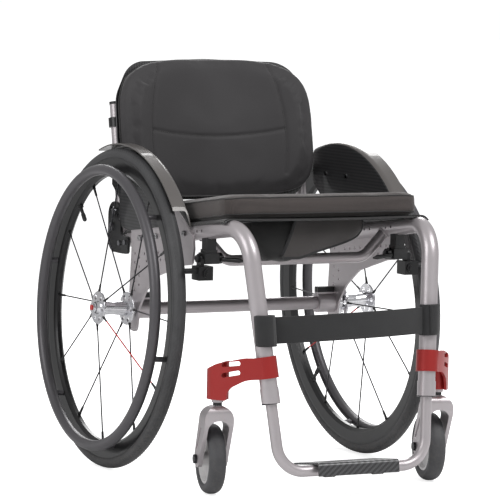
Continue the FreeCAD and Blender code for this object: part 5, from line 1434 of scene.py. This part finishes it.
def make_plugs():
    """Plastic plugs in the open rear ends of the side tubes."""
    plugs = []
    for side in (-1, 1):
        spot = Place(RAIL_REAR[side], ACROSS, -SEAT_FORWARD)
        radius = RAIL_RADIUS
        outline = [(0.0, -0.006), (radius - 0.0026, -0.006), (radius - 0.0026, 0.0001),
                   (radius - 0.0004, 0.0001), (radius - 0.0004, 0.0018), (radius - 0.0022, 0.0036),
                   (radius * 0.45, 0.0046), (0.0, 0.0048)]
        plugs.append(turned(spot, soften(outline, 0.0009), 64, closed=False))
    piece("rail_plugs", plugs, finish("black_plastic"), "frame")


POST_RADIUS = (np.ptp(corners("back_post_left")[:, 0])) / 2
POST_AXIS = {}
for name, side in SIDES:
    spots = corners("back_post_" + name)
    POST_AXIS[side] = (spots.min(0) + spots.max(0)) / 2


# ---------------------------------------------------------------- settings
class ChairSizes(bpy.types.PropertyGroup):
    """Sizes of the soft goods and trim that a user may change."""
    voxel: bpy.props.FloatProperty(name="Cloth grid", description="Side of the even faces of a padded cover",
                                   default=0.005, unit="LENGTH")
    pressure: bpy.props.FloatProperty(name="Cover pressure", description="How hard foam fills its cover",
                                      default=4.0)
    cushion_start: bpy.props.FloatProperty(name="Cushion start", description="Inset before it swells",
                                           default=0.0015, unit="LENGTH")
    cushion_cap: bpy.props.FloatProperty(name="Cushion swell", description="Most that its cover may move",
                                         default=0.005, unit="LENGTH")
    cushion_dip: bpy.props.FloatProperty(name="Cushion dip", description="Hollow in the middle of its top",
                                         default=0.003, unit="LENGTH")
    welt: bpy.props.FloatProperty(name="Welt", description="Radius of the piping on the cushion's edges",
                                  default=0.0013, unit="LENGTH")
    pad_start: bpy.props.FloatProperty(name="Back pad start", description="Inset before it swells",
                                       default=0.0012, unit="LENGTH")
    pad_spread: bpy.props.FloatProperty(name="Back pad overhang", description="Pad's cover past its shell",
                                        default=0.002, unit="LENGTH")
    back_cap: bpy.props.FloatProperty(name="Back pad swell", description="Most that its cover may move",
                                      default=0.006, unit="LENGTH")
    back_bow: bpy.props.FloatProperty(name="Back bow", description="Radius of the backrest's plan curve",
                                      default=0.62, unit="LENGTH")
    back_thickness: bpy.props.FloatProperty(name="Back pad thickness", description="Front to back",
                                            default=0.032, unit="LENGTH")
    seam_depth: bpy.props.FloatProperty(name="Seam depth", description="How far a seam sinks into the pad",
                                        default=0.0022, unit="LENGTH")
    sling_thickness: bpy.props.FloatProperty(name="Sling thickness", description="Seat sling cloth",
                                             default=0.0022, unit="LENGTH")
    sling_dip: bpy.props.FloatProperty(name="Sling dip", description="Sag between the rails",
                                       default=0.002, unit="LENGTH")
    flap_drop: bpy.props.FloatProperty(name="Flap drop", description="Height of the pouch's flap",
                                       default=0.068, unit="LENGTH")
    flap_inset: bpy.props.FloatProperty(name="Flap inset", description="Pouch's end to its flap",
                                        default=0.086, unit="LENGTH")
    strap_thickness: bpy.props.FloatProperty(name="Strap thickness", description="Calf strap",
                                             default=0.0022, unit="LENGTH")
    band_width: bpy.props.FloatProperty(name="Band width", description="Calf strap between the legs",
                                        default=0.047, unit="LENGTH")
    cuff_width: bpy.props.FloatProperty(name="Cuff width", description="Calf strap round a leg",
                                        default=0.055, unit="LENGTH")
    tread_blocks: bpy.props.IntProperty(
        name="Tread blocks", description="Blocks round a rear tyre", default=210)
    tread_depth: bpy.props.FloatProperty(name="Tread depth", description="Depth of the tyre's grooves",
                                         default=0.0009, unit="LENGTH")
    spokes: bpy.props.IntProperty(name="Spokes", description="Spokes in a rear wheel", default=12)
    cross_half: bpy.props.FloatProperty(name="Cross tube corner", description="From the middle plane",
                                        default=0.141, unit="LENGTH")
    cross_radius: bpy.props.FloatProperty(name="Cross tube radius", description="Seat cross tube",
                                          default=0.010, unit="LENGTH")
    weld: bpy.props.FloatProperty(name="Weld", description="Radius of a weld bead", default=0.0019,
                                  unit="LENGTH")


class ChairColours(bpy.types.PropertyGroup):
    """Colours that a user may change."""
    frame: bpy.props.FloatVectorProperty(name="Frame", description="Frame paint", subtype="COLOR", size=4,
                                         min=0, max=1, default=(0.50, 0.465, 0.480, 1))
    accent: bpy.props.FloatVectorProperty(name="Accent", description="Anodised arms", subtype="COLOR", size=4,
                                          min=0, max=1, default=(0.37, 0.020, 0.018, 1))
    handrim: bpy.props.FloatVectorProperty(name="Handrim", description="Handrim", subtype="COLOR", size=4,
                                           min=0, max=1, default=(0.095, 0.091, 0.098, 1))
    black: bpy.props.FloatVectorProperty(name="Black metal", description="Rims and brackets", subtype="COLOR",
                                         size=4, min=0, max=1, default=(0.020, 0.020, 0.021, 1))
    # guard is painted reflection: the warm grey drawn on the sideguards' glossy carbon lip in place of the
    # white room it mirrors.
    guard: bpy.props.FloatVectorProperty(name="Guard", description="Lip of the sideguards", subtype="COLOR",
                                         size=4, min=0, max=1, default=(0.125, 0.115, 0.110, 1))
    seat: bpy.props.FloatVectorProperty(name="Seat", description="Cushion cover", subtype="COLOR", size=4,
                                        min=0, max=1, default=(0.050, 0.042, 0.040, 1))
    backrest: bpy.props.FloatVectorProperty(name="Backrest", description="Backrest cover", subtype="COLOR",
                                            size=4, min=0, max=1, default=(0.040, 0.038, 0.040, 1))


class ChairView(bpy.types.PropertyGroup):
    """Where the camera stands."""
    azimuth: bpy.props.FloatProperty(name="Azimuth", description="Turn about the chair", subtype="ANGLE",
                                     default=math.radians(-26.82))
    elevation: bpy.props.FloatProperty(name="Elevation", description="Height above the horizon",
                                       subtype="ANGLE", default=math.radians(5.04))
    roll: bpy.props.FloatProperty(name="Roll", description="Turn about the lens axis", subtype="ANGLE",
                                  default=math.radians(1.17))
    lens: bpy.props.FloatProperty(name="Lens", description="Focal length in millimetres", default=226.1)
    distance: bpy.props.FloatProperty(name="Distance", description="Camera to the chair", default=5.76,
                                      unit="LENGTH")
    target: bpy.props.FloatVectorProperty(name="Target", description="Point at the middle of the view",
                                          subtype="TRANSLATION", default=(-0.0476, -0.048, 0.412))


# ---------------------------------------------------------------- operators
class ChairOperator:
    """What every operator of this file shares."""
    bl_options = {"REGISTER", "UNDO"}

    def execute(self, context):
        self.build(context.scene)
        return {"FINISHED"}


class CHAIR_OT_stage(ChairOperator, bpy.types.Operator):
    """Set up the floor, the lights and the camera"""
    bl_idname = "chair.stage"
    bl_label = "Stage"

    def build(self, scene):
        make_stage()
        make_camera(scene.chair_view)


class CHAIR_OT_finishes(ChairOperator, bpy.types.Operator):
    """Give every part of the frame its finish"""
    bl_idname = "chair.finishes"
    bl_label = "Finishes"

    def build(self, scene):
        paint_nodes()


class CHAIR_OT_cushion(ChairOperator, bpy.types.Operator):
    """Make the seat cushion and its piping"""
    bl_idname = "chair.cushion"
    bl_label = "Seat Cushion"

    def build(self, scene):
        make_cushion(scene.chair_sizes)


class CHAIR_OT_back_pad(ChairOperator, bpy.types.Operator):
    """Make the backrest pad, its seams and its binding"""
    bl_idname = "chair.back_pad"
    bl_label = "Back Pad"

    def build(self, scene):
        make_back_pad(scene.chair_sizes)


class CHAIR_OT_sling(ChairOperator, bpy.types.Operator):
    """Make the seat sling and its tension straps"""
    bl_idname = "chair.sling"
    bl_label = "Seat Sling"

    def build(self, scene):
        make_sling(scene.chair_sizes)


class CHAIR_OT_pouch(ChairOperator, bpy.types.Operator):
    """Make the pouch under the seat"""
    bl_idname = "chair.pouch"
    bl_label = "Pouch"

    def build(self, scene):
        make_pouch(scene.chair_sizes)


class CHAIR_OT_strap(ChairOperator, bpy.types.Operator):
    """Make the calf strap"""
    bl_idname = "chair.strap"
    bl_label = "Calf Strap"

    def build(self, scene):
        make_strap(scene.chair_sizes)


class CHAIR_OT_tyres(ChairOperator, bpy.types.Operator):
    """Make the treaded rear tyres"""
    bl_idname = "chair.tyres"
    bl_label = "Rear Tyres"

    def build(self, scene):
        make_tyres(scene.chair_sizes)


class CHAIR_OT_wheel_trim(ChairOperator, bpy.types.Operator):
    """Make the nipples, valves, seals and flange beads of the rear wheels"""
    bl_idname = "chair.wheel_trim"
    bl_label = "Rear Wheel Trim"

    def build(self, scene):
        make_wheel_trim(scene.chair_sizes)


class CHAIR_OT_casters(ChairOperator, bpy.types.Operator):
    """Make the caster tyres and bearing shields"""
    bl_idname = "chair.casters"
    bl_label = "Casters"

    def build(self, scene):
        make_casters()


class CHAIR_OT_hard_trim(ChairOperator, bpy.types.Operator):
    """Make weld beads, screw sockets and tube plugs"""
    bl_idname = "chair.hard_trim"
    bl_label = "Welds, Screws and Plugs"

    def build(self, scene):
        make_welds(scene.chair_sizes)
        make_screws()
        make_plugs()


STEPS = (CHAIR_OT_stage, CHAIR_OT_finishes, CHAIR_OT_cushion, CHAIR_OT_back_pad, CHAIR_OT_sling,
         CHAIR_OT_pouch, CHAIR_OT_strap, CHAIR_OT_tyres, CHAIR_OT_wheel_trim, CHAIR_OT_casters,
         CHAIR_OT_hard_trim)


class CHAIR_PT_panel(bpy.types.Panel):
    """Sizes, colours and pieces of the wheelchair"""
    bl_label = "Wheelchair"
    bl_idname = "CHAIR_PT_panel"
    bl_space_type = "VIEW_3D"
    bl_region_type = "UI"
    bl_category = "Wheelchair"

    def draw(self, context):
        for settings in (context.scene.chair_sizes, context.scene.chair_colours, context.scene.chair_view):
            box = self.layout.box()
            for field in settings.__annotations__:
                box.prop(settings, field)
        for step in STEPS:
            self.layout.operator(step.bl_idname)


CLASSES = (ChairSizes, ChairColours, ChairView) + STEPS + (CHAIR_PT_panel,)


def register():
    for made in CLASSES:
        bpy.utils.register_class(made)
    bpy.types.Scene.chair_sizes = bpy.props.PointerProperty(type=ChairSizes)
    bpy.types.Scene.chair_colours = bpy.props.PointerProperty(type=ChairColours)
    bpy.types.Scene.chair_view = bpy.props.PointerProperty(type=ChairView)


def unregister():
    for field in ("chair_sizes", "chair_colours", "chair_view"):
        delattr(bpy.types.Scene, field)
    for made in reversed(CLASSES):
        bpy.utils.unregister_class(made)


def main():
    register()
    for step in STEPS:
        area, verb = step.bl_idname.split(".")
        getattr(getattr(bpy.ops, area), verb)()


if __name__ == "__main__":
    main()
